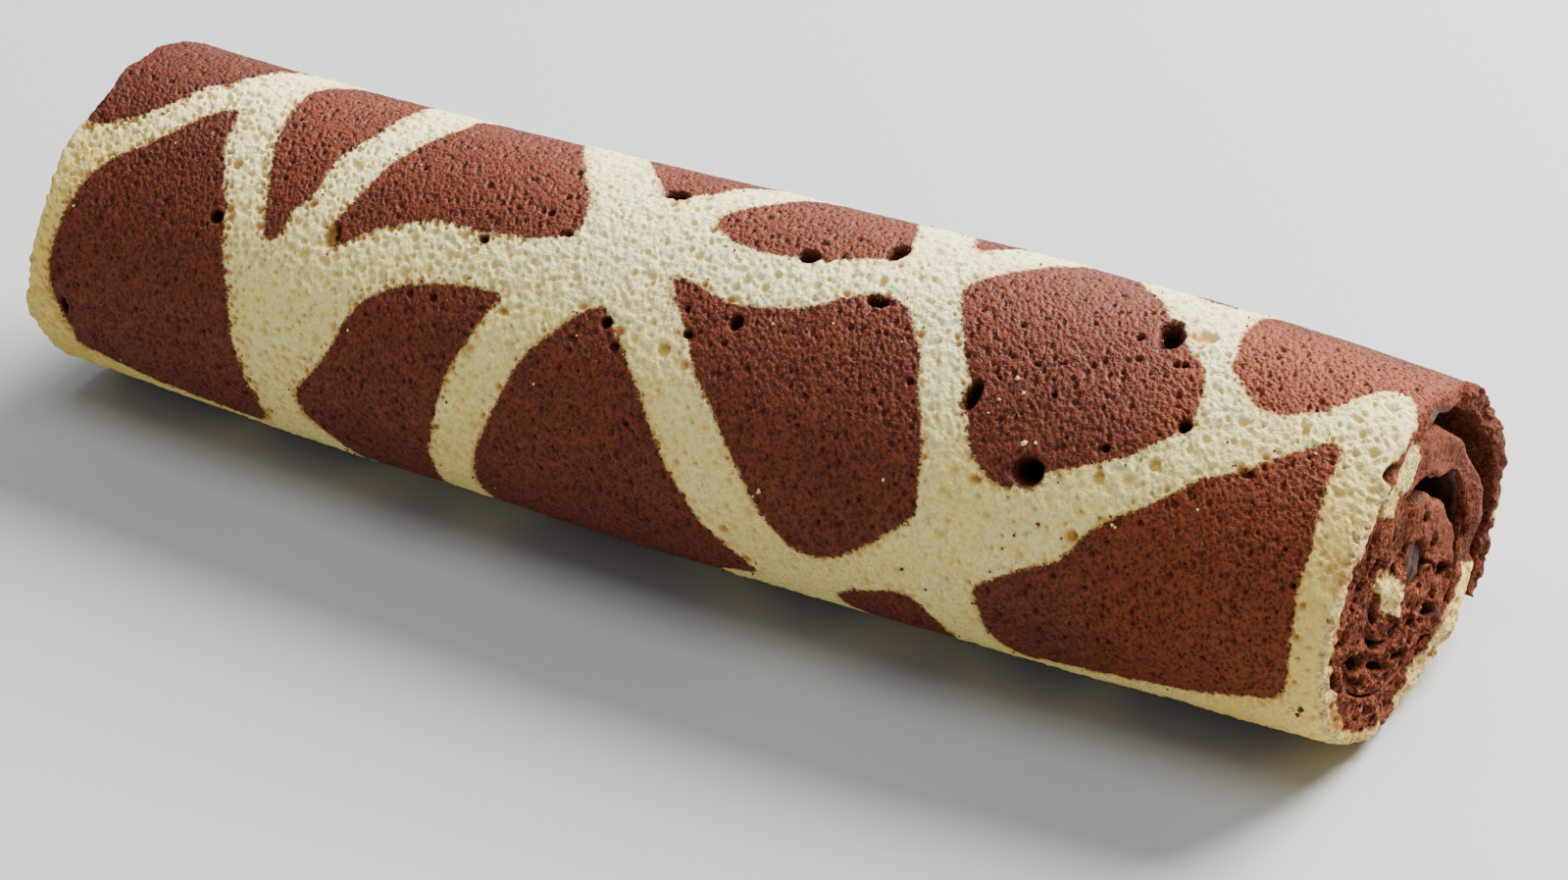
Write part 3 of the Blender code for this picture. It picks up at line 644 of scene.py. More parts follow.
# Marks on the cut end at +X: (y, z, half length, half width, turn in degrees, depth or strength).
endPits = (
    (-11, 35, 1.9, 1.5, 20, 5.0), (-10, 22, 3.6, 1.9, -32, 5.0), (-32.5, 33, 2.8, 2.4, -20, 5.0),
    (-25, 40, 3.4, 2.0, -25, 3.6), (-27.5, 19, 4.6, 2.3, -36, 9.0), (-25, 23, 4.6, 2.4, -30, 4.0),
    (-13, 57.5, 3.4, 1.5, 12, 3.0), (-18, 29, 2.6, 1.6, -60, 3.2), (-4, 20, 4.0, 1.5, -30, 3.0),
    (8, 31, 2.2, 1.4, -70, 3.2), (12, 22, 4.6, 1.6, -22, 3.6), (20, 27, 3.6, 1.7, -36, 3.0),
    (-36, 26, 3.4, 1.5, -60, 2.8), (3, 39, 3.4, 1.3, -40, 2.2), (-21, 47, 3.0, 1.5, 35, 2.2),
    (5, 17.5, 3.6, 1.5, -30, 4.0), (-8, 15, 4.4, 1.2, -24, 3.0), (-19, 41, 2.2, 1.3, 10, 3.0),
    (-30, 45, 2.0, 1.2, 40, 2.4), (12, 38, 3.0, 1.2, -50, 2.6), (-16, 17, 3.6, 1.2, -34, 3.0),
    (-3, 35.5, 3.0, 1.3, -42, 2.6), (21, 35, 3.0, 1.2, -60, 2.4))
endSmears = (
    (0.5, 29.5, 4.4, 4.0, -40, 0.8), (-21, 31, 6.0, 2.2, -70, 0.55), (-9, 42.5, 7.0, 1.7, 32, 0.75),
    (7, 59.4, 5.6, 1.8, -24, 1.0), (-12.5, 13, 6.0, 0.9, -24, 0.7), (7.5, 15.5, 4.4, 1.6, -30, 0.6),
    (1, 45.2, 5.0, 1.2, 4, 0.9), (-5, 25, 2.6, 1.5, -50, 0.5),
)
endStains = (
    (-24, 56, 5.0, 2.2, 40, 0.65), (-31, 46, 5.0, 2.2, 60, 0.6), (-36, 33, 7.0, 2.4, 80, 0.85),
    (-33, 16, 9.0, 3.0, -50, 0.9), (-24, 7, 6.0, 2.4, -40, 0.7), (-38, 27, 3.0, 1.6, 70, 0.6),
    (-14, 31, 3.0, 1.4, -50, 0.5), (-9, 27, 2.6, 1.0, -40, 0.6), (14, 12, 3.0, 1.0, -20, 0.5),
    (24, 12, 3.4, 1.0, -30, 0.4), (4, 6, 3.0, 1.0, -10, 0.4))


def blob(y, z, mark):
    # 1 in the middle of a turned oval, 0 at its rim and below 0 beyond
    middleY, middleZ, halfLong, halfWide, degrees = mark[:5]
    a, b = turned(y - middleY, z - middleZ, -degrees)
    return 1 - np.hypot(a / halfLong, b / halfWide)


def endMarks(y, z, height, pit):
    # the pits sunk into the cut end, how dark the painted shade in each is, and the smears of ganache and
    # toasted stains on it
    dark, smear, stain = np.zeros(y.shape), np.zeros(y.shape), np.zeros(y.shape)
    rims = ((0.25, 1.4, 47), (0.3, 1.6, 53), (0.25, 2, 59))  # how ragged, in lumps of what size, and the seed
    pitRim, smearRim, stainRim = (share * lumps((y, z), size, seed) for share, size, seed in rims)
    for mark in endPits:
        within = blob(y, z, mark)
        bowl = smooth(within / 0.55 + pitRim)
        near = within > -0.3
        height = height - mark[5] * bowl * near
        pit = np.maximum(pit, bowl * near)
        dark = np.maximum(dark, 0.8 * smooth(within / 0.45) * min(mark[5] / 3, 1))
    for mark in endSmears:
        smear = np.maximum(smear, mark[5] * smooth(blob(y, z, mark) / 0.5 + smearRim))
    for mark in endStains:
        stain = np.maximum(stain, mark[5] * smooth(blob(y, z, mark) / 0.6 + stainRim))
    return height, pit, dark, smear, stain


def polarOutline(pairs):
    # (degrees, mm) pairs round the middle of the end section, as (y, z)
    angle, radius = np.radians(np.array(pairs)[:, 0]), np.array(pairs)[:, 1]
    return np.stack([radius * np.cos(angle), roll["centreHeight"] + radius * np.sin(angle)], axis=1)


secondStripOutline = polarOutline((
    (94, 27.6), (97, 28.3), (101, 28.1), (105, 27.7), (108, 26.4), (114, 26.5), (121, 28.5), (126, 30.1),
    (131, 27.4), (128, 23.5), (123, 20.0), (113, 21.2), (107, 20.1), (101, 20.6), (97, 21.3), (94, 22.5),
    (93, 26.1)))
coreStripOutline = np.array((
    (-18.5, 36), (-17, 37.8), (-14, 37.6), (-11.5, 34.6), (-8.6, 32), (-5.6, 28.4), (-5.4, 25.6), (-8, 23.8),
    (-10.4, 25.2), (-13, 27.4), (-15.2, 29.6), (-16.4, 33)), float)
bottomChunkOutline = np.array((
    (-6.5, -2), (-6.6, 3.5), (-3, 5.4), (-0.5, 8), (3.4, 9), (6, 10.6), (10, 11.2), (12.4, 13), (16, 13.6),
    (19, 15.6), (20.6, 19.6), (23, 20.4), (25.6, 18), (29.4, 16.4), (31, 12.6), (30, 6), (20, -2)), float)


def stripShares(side, run, depth, y, z):
    # above 0 in each of the two pale strips: by their outlines at the cut end, by run and depth at the other
    if side > 0:
        return insideBy(y, z, secondStripOutline), insideBy(y, z, coreStripOutline)
    room = through(sheet["pattern"], degreesAt(run)) - depth
    return tuple(np.minimum(np.minimum(run - runAt(first), runAt(last) - run), room)
                 for first, last in (sheet["stripSecondTurn"], sheet["stripCore"]))


def endProfile(run, corner, innerCorner, inner):
    # across the sheet at one end: along its outer face, round the corner, over the cut, round, back along
    # its inner face; for each place its distance from the end, its depth and the way it faces
    outerEdge, innerEdge = faceDepth(run, -1)[:, None], faceDepth(run, 1)[:, None]
    thick = innerEdge - outerEdge
    most = endLook["cornerShare"] * thick
    corner, innerCorner = np.minimum(corner[:, None], most), np.minimum(innerCorner[:, None], most)
    band = roll["halfLength"] - np.array(endLook["bandX"])
    wall = roll["halfLength"] - np.array(endLook["deepX"])
    quarter = np.radians(np.linspace(0, 90, endLook["cornerSteps"] + 1))[None, :]
    back = quarter[:, ::-1]
    share = np.linspace(0, 1, endLook["faceSteps"] + 1)[None, 1:-1]
    one = np.ones((len(run), 1))

    def bandTo(radius):
        # the band's columns, held short of the corner
        return np.maximum(band[None, :] * one, radius + 0.05 * (band[None, :] + 1))

    def along(fromEnd, edge, way):
        # a stretch of the outer face for -1 or of the inner one for 1
        return fromEnd, edge + 0 * fromEnd, 0 * fromEnd, way + 0 * fromEnd

    parts = [along(wall * one, outerEdge, -1)] if inner else []
    parts += [
        along(bandTo(corner), outerEdge, -1),
        (corner * (1 - np.sin(quarter)), outerEdge + corner * (1 - np.cos(quarter)),
         np.sin(quarter) * one, -np.cos(quarter) * one),
        (0 * share * one, outerEdge + corner + (thick - corner - innerCorner) * share,
         one + 0 * share, 0 * share * one),
        (innerCorner * (1 - np.sin(back)), innerEdge - innerCorner * (1 - np.cos(back)),
         np.sin(back) * one, np.cos(back) * one),
        along(bandTo(innerCorner)[:, ::-1], innerEdge, 1),
        along(wall[::-1] * one, innerEdge, 1),
    ]
    return [np.concatenate([part[k] for part in parts], axis=1) for k in range(4)]


def endCocoa(side, x, runs, depth, y, z, inner):
    # above 0 in chocolate, below 0 in the web and the strips; also the strips' own shares
    cocoa = webCocoa(x, runs, depth)
    second, core = stripShares(side, runs, depth, y, z)
    cocoa = np.minimum(cocoa, -np.maximum(second, core))
    if side > 0 and not inner:
        chunk = insideBy(y, z, bottomChunkOutline) - 3 * np.maximum(roll["halfLength"] - x - 1.5, 0)
        cocoa = np.where(degreesAt(runs) > endLook["chunkStart"], np.minimum(cocoa, -chunk), cocoa)
    cocoa = np.clip(brownedHoles(x, runs, cocoa), -patchReach, patchReach)
    if not inner:  # the column shared with the skin's grid has the skin's own values
        cocoa[:, :1] = brownedHoles(x[:, :1], runs[:, :1], patchCocoa(x[:, :1], runs[:, :1]))
    return cocoa, second, core


def endGrid(side, run, inner):
    # the sheet's end, from the skin over the cut to the inner face; torn crumb takes over from the baked skin
    # round the corner, and heights stand out along the way that each place faces
    look = endLook
    degrees = degreesAt(run)
    start, rise, stop, fall = look["paleAngles"]
    pale = smooth((degrees - start) / rise) * (1 - smooth((degrees - stop) / fall))
    corner = look["corner"] + look["paleCorner"] * pale
    corner = np.where(degrees < look["secondStart"], corner, look["secondCorner"])
    corner = corner + 0.3 * lumps((run,), 7, 41)
    innerCorner = look["innerCorner"] + 0.2 * lumps((run,), 6, 43)
    fromEnd, depth, facingX, facingDepth = endProfile(run, corner, innerCorner, inner)
    runs = run[:, None] + 0 * fromEnd
    x = side * (roll["halfLength"] - fromEnd)
    flat = onRoll(x, runs, depth)
    y, z = flat[..., 1], flat[..., 2]
    cocoa, second, core = endCocoa(side, x, runs, depth, y, z, inner)
    skinHigh, pit, dark = skinRelief(x, runs, cocoa)
    if inner:
        skinHigh, dark = 0.5 * skinHigh * smooth((np.abs(x) - 60) / 30), 0 * dark
    onFace = smooth((1.6 - fromEnd) / 1.3) * smooth((facingX - 0.05) / 0.6)
    innerFace = smooth((facingDepth - 0.1) / 0.5)
    # the crumb is torn open most at the front and below
    torn = look["tornLeast"] + (1 - look["tornLeast"]) * smooth((16 - y * 0.9 + (34 - z) * 0.8) / 30)
    tornHigh, tornPit = crumbRelief(side, y, z, torn)
    tornDark = smear = stain = np.zeros(y.shape)
    if side > 0:
        tornHigh, tornPit, tornDark, smear, stain = endMarks(y, z, tornHigh, tornPit)
    wallHigh = 0.25 * lumps((x, runs), 3.1, 61) + 0.15 * lumps((x, runs), 1.4, 62)
    high = tornHigh * onFace * openShare(runs)
    high = high + (1 - onFace) * calm(runs) * np.where(innerFace > 0.5, wallHigh, skinHigh)
    # the thin flap's edge is ragged
    flap = 1 - smooth((degrees[:, None] - look["teethEnd"][0]) / look["teethEnd"][1])
    teeth = np.clip(bubbles(runs, 0 * runs + 7, 3.2, 67 + side, 0.3, 0.5, 0.9), 0, 1)
    ragged = flap * (look["teeth"] * teeth + 0.5 * lumps((runs, depth), 1.2, 71))
    ragged = ragged * smooth((4 - fromEnd) / 3) * np.exp(-fromEnd / 2.5)
    points = onRoll(x + side * (facingX * high - ragged), runs, depth + facingDepth * high)
    inStrip = np.maximum(second, core) > -0.5
    fields = {
        "cocoa": cocoa,
        "pit": np.where(onFace > 0.5, tornPit, pit),
        "dark": np.where(onFace > 0.5, tornDark, dark),
        "torn": np.maximum(onFace * (0.3 + 0.7 * np.maximum(torn, inStrip)), 0.5 * innerFace),
        "smear": smear * onFace,
        "stain": stain,
    }
    zone = np.where(cocoa > 0, 0, np.where(second > -0.01, 2, np.where(core > -0.01, 3, 1)))
    return points, gridNormals(points) * side, fields, zone


# everything of the sponge so far; zones: 0 chocolate, 1 web, 2 and 3 the pale strips inside the spiral;
# regions: 0 front left, 1 front right, 2 back and base, 3 cut end at +X, 4 end at -X
store = {"cells": [], "zone": [], "region": [], "points": [], "normals": [], "count": 0,
         "fields": {title: [] for title in ("cocoa", "pit", "dark", "torn", "smear", "stain")}}


def addGrid(points, normals, fields, zone, region, flip):
    # one grid's places and cells put after those gathered so far; the underside is pressed flat
    points = np.stack([points[..., 0], points[..., 1], np.maximum(points[..., 2], 0.0)], axis=-1)
    rows, columns = points.shape[:2]
    pale = cornersOf(fields["cocoa"]).mean(axis=-1) < 0
    cellZone = np.where(pale, np.maximum(cornersOf(zone).max(axis=-1), 1), 0)
    store["cells"].append((gridCells(rows, columns, flip) + store["count"]).reshape(-1, 4))
    store["zone"].append(cellZone.ravel())
    store["region"].append(np.broadcast_to(region, cellZone.shape).ravel())
    store["points"].append(points.reshape(-1, 3))
    store["normals"].append(normals.reshape(-1, 3))
    for title, gathered in store["fields"].items():
        gathered.append(fields[title].ravel() if title in fields else np.zeros(rows * columns))
    store["count"] += rows * columns


middleRun = (firstRuns[:-1] + firstRuns[1:])[:, None] / 2
middleX = (skinX[:-1] + skinX[1:])[None, :] / 2
skinRegion = np.where((middleRun < front0) | (middleRun > front1), 2, np.where(middleX < 0, 0, 1))
addGrid(skinPoints, skinNormals, skinFields, np.where(skinCocoa < 0, 1, 0), skinRegion, False)

laterRuns = np.concatenate([
    stretch(turnEnd, sheetRun, endLook["pitchInner"] * coarser),
    sheetRun + sheet["lipReach"] * np.sin(np.radians(np.linspace(0, 90, 7)[1:])),
])
for side, region in ((1, 3), (-1, 4)):
    print("making the end at", "+X" if side > 0 else "-X")
    for runs, inner in ((firstRuns, False), (laterRuns, True)):
        addGrid(*endGrid(side, runs, inner), region, side < 0)

allFields = {title: np.concatenate(values) for title, values in store["fields"].items()}
allPoints, allNormals, allFields, allCells = welded(
    np.concatenate(store["points"]), np.concatenate(store["normals"]), allFields,
    np.concatenate(store["cells"]))
allZone, allRegion = np.concatenate(store["zone"]), np.concatenate(store["region"])


def nodeMaker(finish):
    # short ways to add nodes to a finish, each giving back what it makes
    finish.use_nodes = True
    nodes, links = finish.node_tree.nodes, finish.node_tree.links
    nodes.clear()

    def give(socket, value):
        if isinstance(value, bpy.types.NodeSocket):
            links.new(value, socket)
        else:
            socket.default_value = value

    def add(kind, settings=None, **inputs):
        # a node with its settings made and its inputs either linked or given a value; i0 is the first input
        node = nodes.new("ShaderNode" + kind)
        for name, value in (settings or {}).items():
            setattr(node, name, value)
        for name, value in inputs.items():
            numbered = name[0] == "i" and name[1:].isdigit()
            give(node.inputs[int(name[1:]) if numbered else name.replace("_", " ")], value)
        return node

    def maths(operation, a, b=0.0, clamp=False):
        return add("Math", {"operation": operation, "use_clamp": clamp}, i0=a, i1=b, i2=0.0).outputs[0]

    def blend(share, a, b):
        # colour a where the share is 0, b where it is 1
        node = add("Mix", {"data_type": "RGBA"}, Factor=share)
        for socket, value in zip(node.inputs[6:8], (a, b)):
            give(socket, (*value, 1) if isinstance(value, tuple) else value)
        return node.outputs[2]

    def span(value, low, high, to=(0.0, 1.0)):
        # an even S from to[0] at low to to[1] at high
        return add("MapRange", {"interpolation_type": "SMOOTHSTEP"}, Value=value, From_Min=low,
                   From_Max=high, To_Min=to[0], To_Max=to[1]).outputs[0]

    return add, maths, blend, span


spongeLook = {
    "chocolate": (0.096, 0.0160, 0.0066),
    # a lighter tone at random, and painted highlight on the rims between pores
    "chocolateLightAndHighlight": (0.200, 0.0400, 0.0160),
    "chocolatePaintedLight": (0.290, 0.070, 0.027),  # painted light: paler on top near the cut end
    # painted shade on the back of the chocolate
    "chocolateBackShade": (0.050, 0.0130, 0.0080),
    # a deeper tone at random, and painted shade on top at the far end
    "chocolateDeepAndShade": (0.046, 0.0072, 0.0048),
    "toasted": (0.270, 0.058, 0.012),
    # painted shade in the pores, pits and dark dots
    "chocolatePitShade": (0.020, 0.004, 0.0030),
    # painted shadow in the burst bubbles and deep pits
    "hole": (0.006, 0.002, 0.0015),
    "vanilla": (0.940, 0.765, 0.190),
    "vanillaLight": (0.990, 0.905, 0.480),
    # painted light on the vanilla's top
    "vanillaPaintedLight": (0.990, 0.955, 0.640),
    "vanillaAtEnds": (0.880, 0.610, 0.110),  # darker and yellower near both ends, most away from the lit top
    # painted shade in the vanilla's pits and hollows
    "vanillaPit": (0.800, 0.500, 0.120),
    # stains, and painted shade in the vanilla's pits near the chocolate and in its holes
    "stain": (0.500, 0.210, 0.045),
    # the torn crumb's tone; its lighter and darker grains are painted light and shade
    "crumb": (0.225, 0.059, 0.029),
    "crumbLight": (0.440, 0.158, 0.088),
    "crumbDark": (0.048, 0.012, 0.0085),
    "ganache": (0.060, 0.030, 0.028),
    "pore": 0.00100,  # metres from one fine pore to the next
    "poreShake": (0.0011, 0.0011, 0.0011),
    "bump": 0.00045,
    "bumpStrength": 0.9,
    "gloss": (1.0, 0.77, 0.68, 1.0),
    "tornRoughness": 0.36,  # what torn crumb adds
}


def spongeFinish(name, roughness, level):
    # both sponges in one set of nodes: the cocoa attribute, roughened by noise, chooses between them
    finish = bpy.data.materials.new(name)
    add, maths, blend, span = nodeMaker(finish)
    where = add("TexCoord").outputs["Object"]
    look = spongeLook

    def noise(scale, detail=3.0, rough=0.6):
        return add("TexNoise", Vector=where, Scale=scale, Detail=detail, Roughness=rough).outputs["Fac"]

    def times(a, b, clamp=False):
        return maths("MULTIPLY", a, b, clamp)

    def rest(share):
        return maths("SUBTRACT", 1.0, share, True)

    def layered(colour, *layers):
        # each tone laid over what is there by its share
        for share, tone in layers:
            colour = blend(share, colour, look[tone])
        return colour

    cocoa, pit, dark, torn, smear, stain = (
        add("Attribute", {"attribute_name": title}).outputs["Fac"]
        for title in ("cocoa", "pit", "dark", "torn", "smear", "stain"))
    grain, speckle, patchy = noise(2400.0), noise(700.0, 2.0), noise(70.0, 2.0)
    grains, tufts = noise(1500.0, 4.0, 0.7), noise(1000.0, 4.0, 0.7)
    frayed = maths("ADD", cocoa, times(maths("SUBTRACT", grain, 0.5), 1.5))
    frayed = maths("ADD", frayed, times(maths("SUBTRACT", noise(1000.0, 2.0, 0.6), 0.5), 2.1))
    brown = span(frayed, -0.45, 0.35)

    # the top, which faces the light, is painted paler there, and painted paler still near the cut end; the
    # back and the far end's top are painted darker
    x, y, z = add("SeparateXYZ", Vector=where).outputs
    litCrown, shadedBack = span(z, 0.048, 0.067), span(y, 0.008, 0.030)
    nearEnd, farEnd = span(x, 0.098, 0.112), span(x, -0.090, -0.125)
    bothEnds = span(maths("ABSOLUTE", x), 0.105, 0.140)

    # pores: rounded cells, their places shaken by noise so that no two are alike
    shake = add("TexNoise", Vector=where, Scale=520.0, Detail=2.0).outputs["Color"]
    shaken = add("VectorMath", {"operation": "MULTIPLY_ADD"}, i0=shake, i1=look["poreShake"], i2=where)

    def pores(finer, feature="F1", **more):
        scale = finer / look["pore"]
        return add("TexVoronoi", {"feature": feature}, Vector=shaken.outputs[0], Scale=scale, **more).outputs

    cells, small = pores(1, "SMOOTH_F1", Smoothness=0.25)["Distance"], pores(2.1)["Distance"]
    fine = pores(1.25)
    chance = add("SeparateColor", i0=fine["Color"]).outputs[0]
    pore = maths("SUBTRACT", 1.0, span(cells, 0.10, 0.42))
    dots = times(span(fine["Distance"], 0.46, 0.24), span(chance, 0.3, 0.4))

    # baked chocolate, then torn crumb, then painted shade in the pores, pits and holes of both
    toasted = times(span(noise(1150.0, 3.0, 0.65), 0.56, 0.64), span(noise(95.0, 2.0), 0.42, 0.6))
    paintedLightNearEnd = times(times(nearEnd, span(litCrown, 0.0, 1.0, (0.32, 0.55))), rest(shadedBack))
    murky = times(span(noise(260.0, 4.0, 0.65), 0.46, 0.58, (0.0, 0.6)), torn)
    chocolate = layered(
        look["chocolate"],
        (span(speckle, 0.28, 0.72, (0.22, 0.70)), "chocolateLightAndHighlight"),
        (span(patchy, 0.50, 0.68, (0.0, 0.25)), "chocolateDeepAndShade"),
        # painted shade on the top at the far end
        (times(times(farEnd, litCrown), 0.6), "chocolateDeepAndShade"),
        (times(toasted, 0.7), "toasted"),
        # painted highlight on the raised rims between pores
        (times(span(cells, 0.45, 0.8), 0.45), "chocolateLightAndHighlight"),
        # painted light near the cut end
        (paintedLightNearEnd, "chocolatePaintedLight"),
        # painted shade on the back
        (times(shadedBack, 0.62), "chocolateBackShade"),
        (times(dots, 0.38), "chocolatePitShade"))
    # torn crumb whose lighter and darker grains are painted light and shade
    tornColour = layered(
        look["crumb"],
        (span(grains, 0.52, 0.64), "crumbLight"),
        (span(grains, 0.50, 0.40), "crumbDark"),
        (murky, "crumbDark"))
    chocolate = layered(
        blend(torn, chocolate, tornColour),
        (times(pore, 0.85), "chocolatePitShade"),
        (times(pit, span(torn, 0.0, 1.0, (0.65, 0.5)), True), "chocolatePitShade"),
        (dark, "hole"))

    # vanilla, painted paler on its lit top, yellower at both ends, stained beside the chocolate, and painted
    # shade in its pits, hollows and holes
    yellowerAtEnds = times(times(bothEnds, span(litCrown, 0.0, 1.0, (0.6, 0.1))), rest(torn))
    vanilla = layered(
        look["vanilla"],
        (span(grain, 0.35, 0.65), "vanillaLight"),
        (times(span(patchy, 0.35, 0.7), 0.5), "vanilla"),
        (times(litCrown, 0.65), "vanillaPaintedLight"),
        (yellowerAtEnds, "vanillaAtEnds"),
        (times(pit, 0.75, True), "vanillaPit"),
        (span(tufts, 0.52, 0.38, (0.0, 0.6)), "vanillaPit"),
        (times(pore, 0.2), "vanillaPit"),
        (times(span(cocoa, -1.4, -0.1), span(patchy, 0.46, 0.62, (0.0, 0.45))), "stain"),
        (times(times(pit, 1.1, True), span(cocoa, -2.8, -0.8)), "stain"),
        (times(times(torn, 0.85), span(grains, 0.48, 0.57)), "crumbLight"),
        (stain, "stain"),
        (times(dark, 0.7), "stain"))
    colour = layered(blend(brown, vanilla, chocolate), (times(smear, 0.85), "ganache"))

    # relief finer than the mesh, in shares of the bump's distance
    cellHeight = maths("ADD", times(span(cells, 0.0, 0.5), 0.26), times(small, 0.20))
    fluff = maths("ADD", times(tufts, 1.35), times(small, 0.3))
    height = add("Mix", {"data_type": "FLOAT"}, Factor=brown, A=fluff, B=cellHeight).outputs[0]
    for more in (times(noise(900.0, 6.0, 0.75), times(torn, 2.2)), times(grain, 0.30), times(speckle, 0.30)):
        height = maths("ADD", height, more)
    height = maths("SUBTRACT", height, times(times(dots, brown), 0.35))
    bump = add("Bump", Strength=look["bumpStrength"], Distance=look["bump"], Height=height).outputs["Normal"]

    # torn crumb, holes and the skin near the cut end shine less; a smear of ganache is smoother
    rough = maths("ADD", roughness, times(torn, look["tornRoughness"]), True)
    rough = times(rough, span(smear, 0.2, 0.8, (1.0, 0.45)))
    shine = times(rest(times(torn, 0.75)), rest(dark))
    shine = times(shine, span(nearEnd, 0.0, 1.0, (1.0, 0.55)))
    shader = add("BsdfPrincipled", Base_Color=colour, Roughness=rough, Normal=bump,
                 Specular_IOR_Level=times(shine, level), Specular_Tint=look["gloss"])
    add("OutputMaterial", Surface=shader.outputs[0])
    return finish


print("making the sponge pieces")
finishes["chocolate"] = spongeFinish("chocolateSponge", 0.58, 0.30)
finishes["vanilla"] = spongeFinish("vanillaSponge", 0.8, 0.2)

# each piece's name, regions, zone and the CAD node that it stands for
pieces = (
    ("vanilla_web_front_left", (0,), 1, "vanilla_pattern"),
    ("vanilla_web_front_right", (1,), 1, "vanilla_pattern"),
    ("vanilla_web_back_and_base", (2,), 1, "vanilla_pattern"),
    ("vanilla_web_cut_rim", (3, 4), 1, "vanilla_pattern"),
    ("chocolate_patches_front_left", (0,), 0, "chocolate_sponge"),
    ("chocolate_patches_front_right", (1,), 0, "chocolate_sponge"),
    ("chocolate_patches_back_and_base", (2,), 0, "chocolate_sponge"),
    ("chocolate_cut_end", (3,), 0, "chocolate_sponge"),
    ("chocolate_far_end", (4,), 0, "chocolate_sponge"),
    ("vanilla_strip_in_second_turn", (3, 4), 2, "vanilla_strip_second_turn"),
    ("vanilla_strip_by_core", (3, 4), 3, "vanilla_strip_core"),
)
for name, regions, zone, node in pieces:
    chosen = np.isin(allRegion, regions) & (allZone == zone)
    slot = "vanilla" if zone else "chocolate"
    makePiece(name, allPoints, allNormals, allCells[chosen], allFields, slot, node)


# Crumbs listed: (x, run, radius) in mm.
paleCrumbs = (
    (77, 103.5, 0.45), (79.5, 106, 0.4), (75.6, 108.4, 0.35), (84, 115, 0.6), (86, 114.4, 0.35),
    (34.5, 136, 0.5), (59.5, 128, 0.35), (33.4, 137.2, 0.3), (136, 101, 0.25), (120, 118, 0.3),
    (61, 104, 0.25), (18, 124, 0.3),
)
darkCrumbs = (
    (47.5, 139, 0.5), (92, 128, 0.45), (88, 131, 0.35), (97, 129.4, 0.3), (66, 143, 0.4), (71, 146, 0.3),
    (86, 134, 0.3), (63, 84, 0.35), (64.6, 95, 0.3), (146, 150, 0.7), (145, 152, 0.45), (120, 104, 0.35),
)

crumbs = {
    "rings": 8,
    "sectors": 11,
    "radius": (0.12, 0.30),  # of the scattered ones
    "reachX": 144,
    "runs": (60, 176),
    # how many are scattered, between which distances inside a patch, the seeds of places and lumps, and cocoa
    "chocolate": {"named": darkCrumbs, "count": 170, "inside": (-2.4, -0.3), "seeds": (5, 301), "cocoa": 3.0},
    "vanilla": {"named": paleCrumbs, "count": 26, "inside": (0.5, 6.0), "seeds": (6, 302), "cocoa": -3.0},
}


def scatter(kind):
    # places on the front skin that lie between two distances inside the patches, after those listed
    draw = np.random.default_rng(kind["seeds"][0])
    tries, reach, (least, most) = 40 * kind["count"], crumbs["reachX"], kind["inside"]
    x, run = draw.uniform(-reach, reach, tries), draw.uniform(*crumbs["runs"], tries)
    inside = insidePatch(x, run)
    chosen = np.flatnonzero((inside > least) & (inside < most))[:kind["count"]]
    scattered = x[chosen], run[chosen], draw.uniform(*crumbs["radius"], len(chosen))
    return [np.concatenate(pair) for pair in zip(np.array(kind["named"]).T, scattered)]


def makeCrumbs(slot, node):
    # balls made lumpy by noise, each sunk a little into the skin that it lies on
    kind, rings, sectors = crumbs[slot], crumbs["rings"], crumbs["sectors"]
    x, run, size = scatter(kind)
    skin = skinRelief(x, run, insidePatch(x, run))[0]
    middles = onRoll(x, run, -skin - 0.35 * size)
    polar, circle = np.radians(np.linspace(0, 180, rings))[:, None], np.radians(np.linspace(0, 360, sectors))
    ball = np.stack([np.sin(polar) * np.cos(circle), np.sin(polar) * np.sin(circle),
                     np.cos(polar) + 0 * circle], axis=-1)[None]
    spots = [ball[..., k] * 1.6 + middles[:, None, None, k] for k in range(3)]
    radius = size[:, None, None] * (0.8 + 0.75 * lumps(spots, 0.8, kind["seeds"][1]))
    points = middles[:, None, None, :] + ball * radius[..., None]
    balls = np.arange(len(size))[:, None, None]
    cells = gridCells(rings, sectors, False).reshape(-1, 4)[None] + rings * sectors * balls
    fields = {"cocoa": np.full(len(size) * rings * sectors, kind["cocoa"])}
    normals = np.broadcast_to(ball, points.shape).reshape(-1, 3)
    flat, normals, fields, cells = welded(points.reshape(-1, 3), normals, fields, cells.reshape(-1, 4))
    makePiece("crumbs_of_" + slot, flat, normals, cells, fields, slot, node)


makeCrumbs("chocolate", "chocolate_sponge")
makeCrumbs("vanilla", "vanilla_pattern")


ganacheLook = {
    "dark": (0.024, 0.0065, 0.005),
    "light": (0.062, 0.021, 0.017),
    "roughness": (0.48, 0.75),
    "gloss": (1.0, 0.76, 0.70, 1.0),
    "level": 0.16,
    "bump": 0.0005,
}


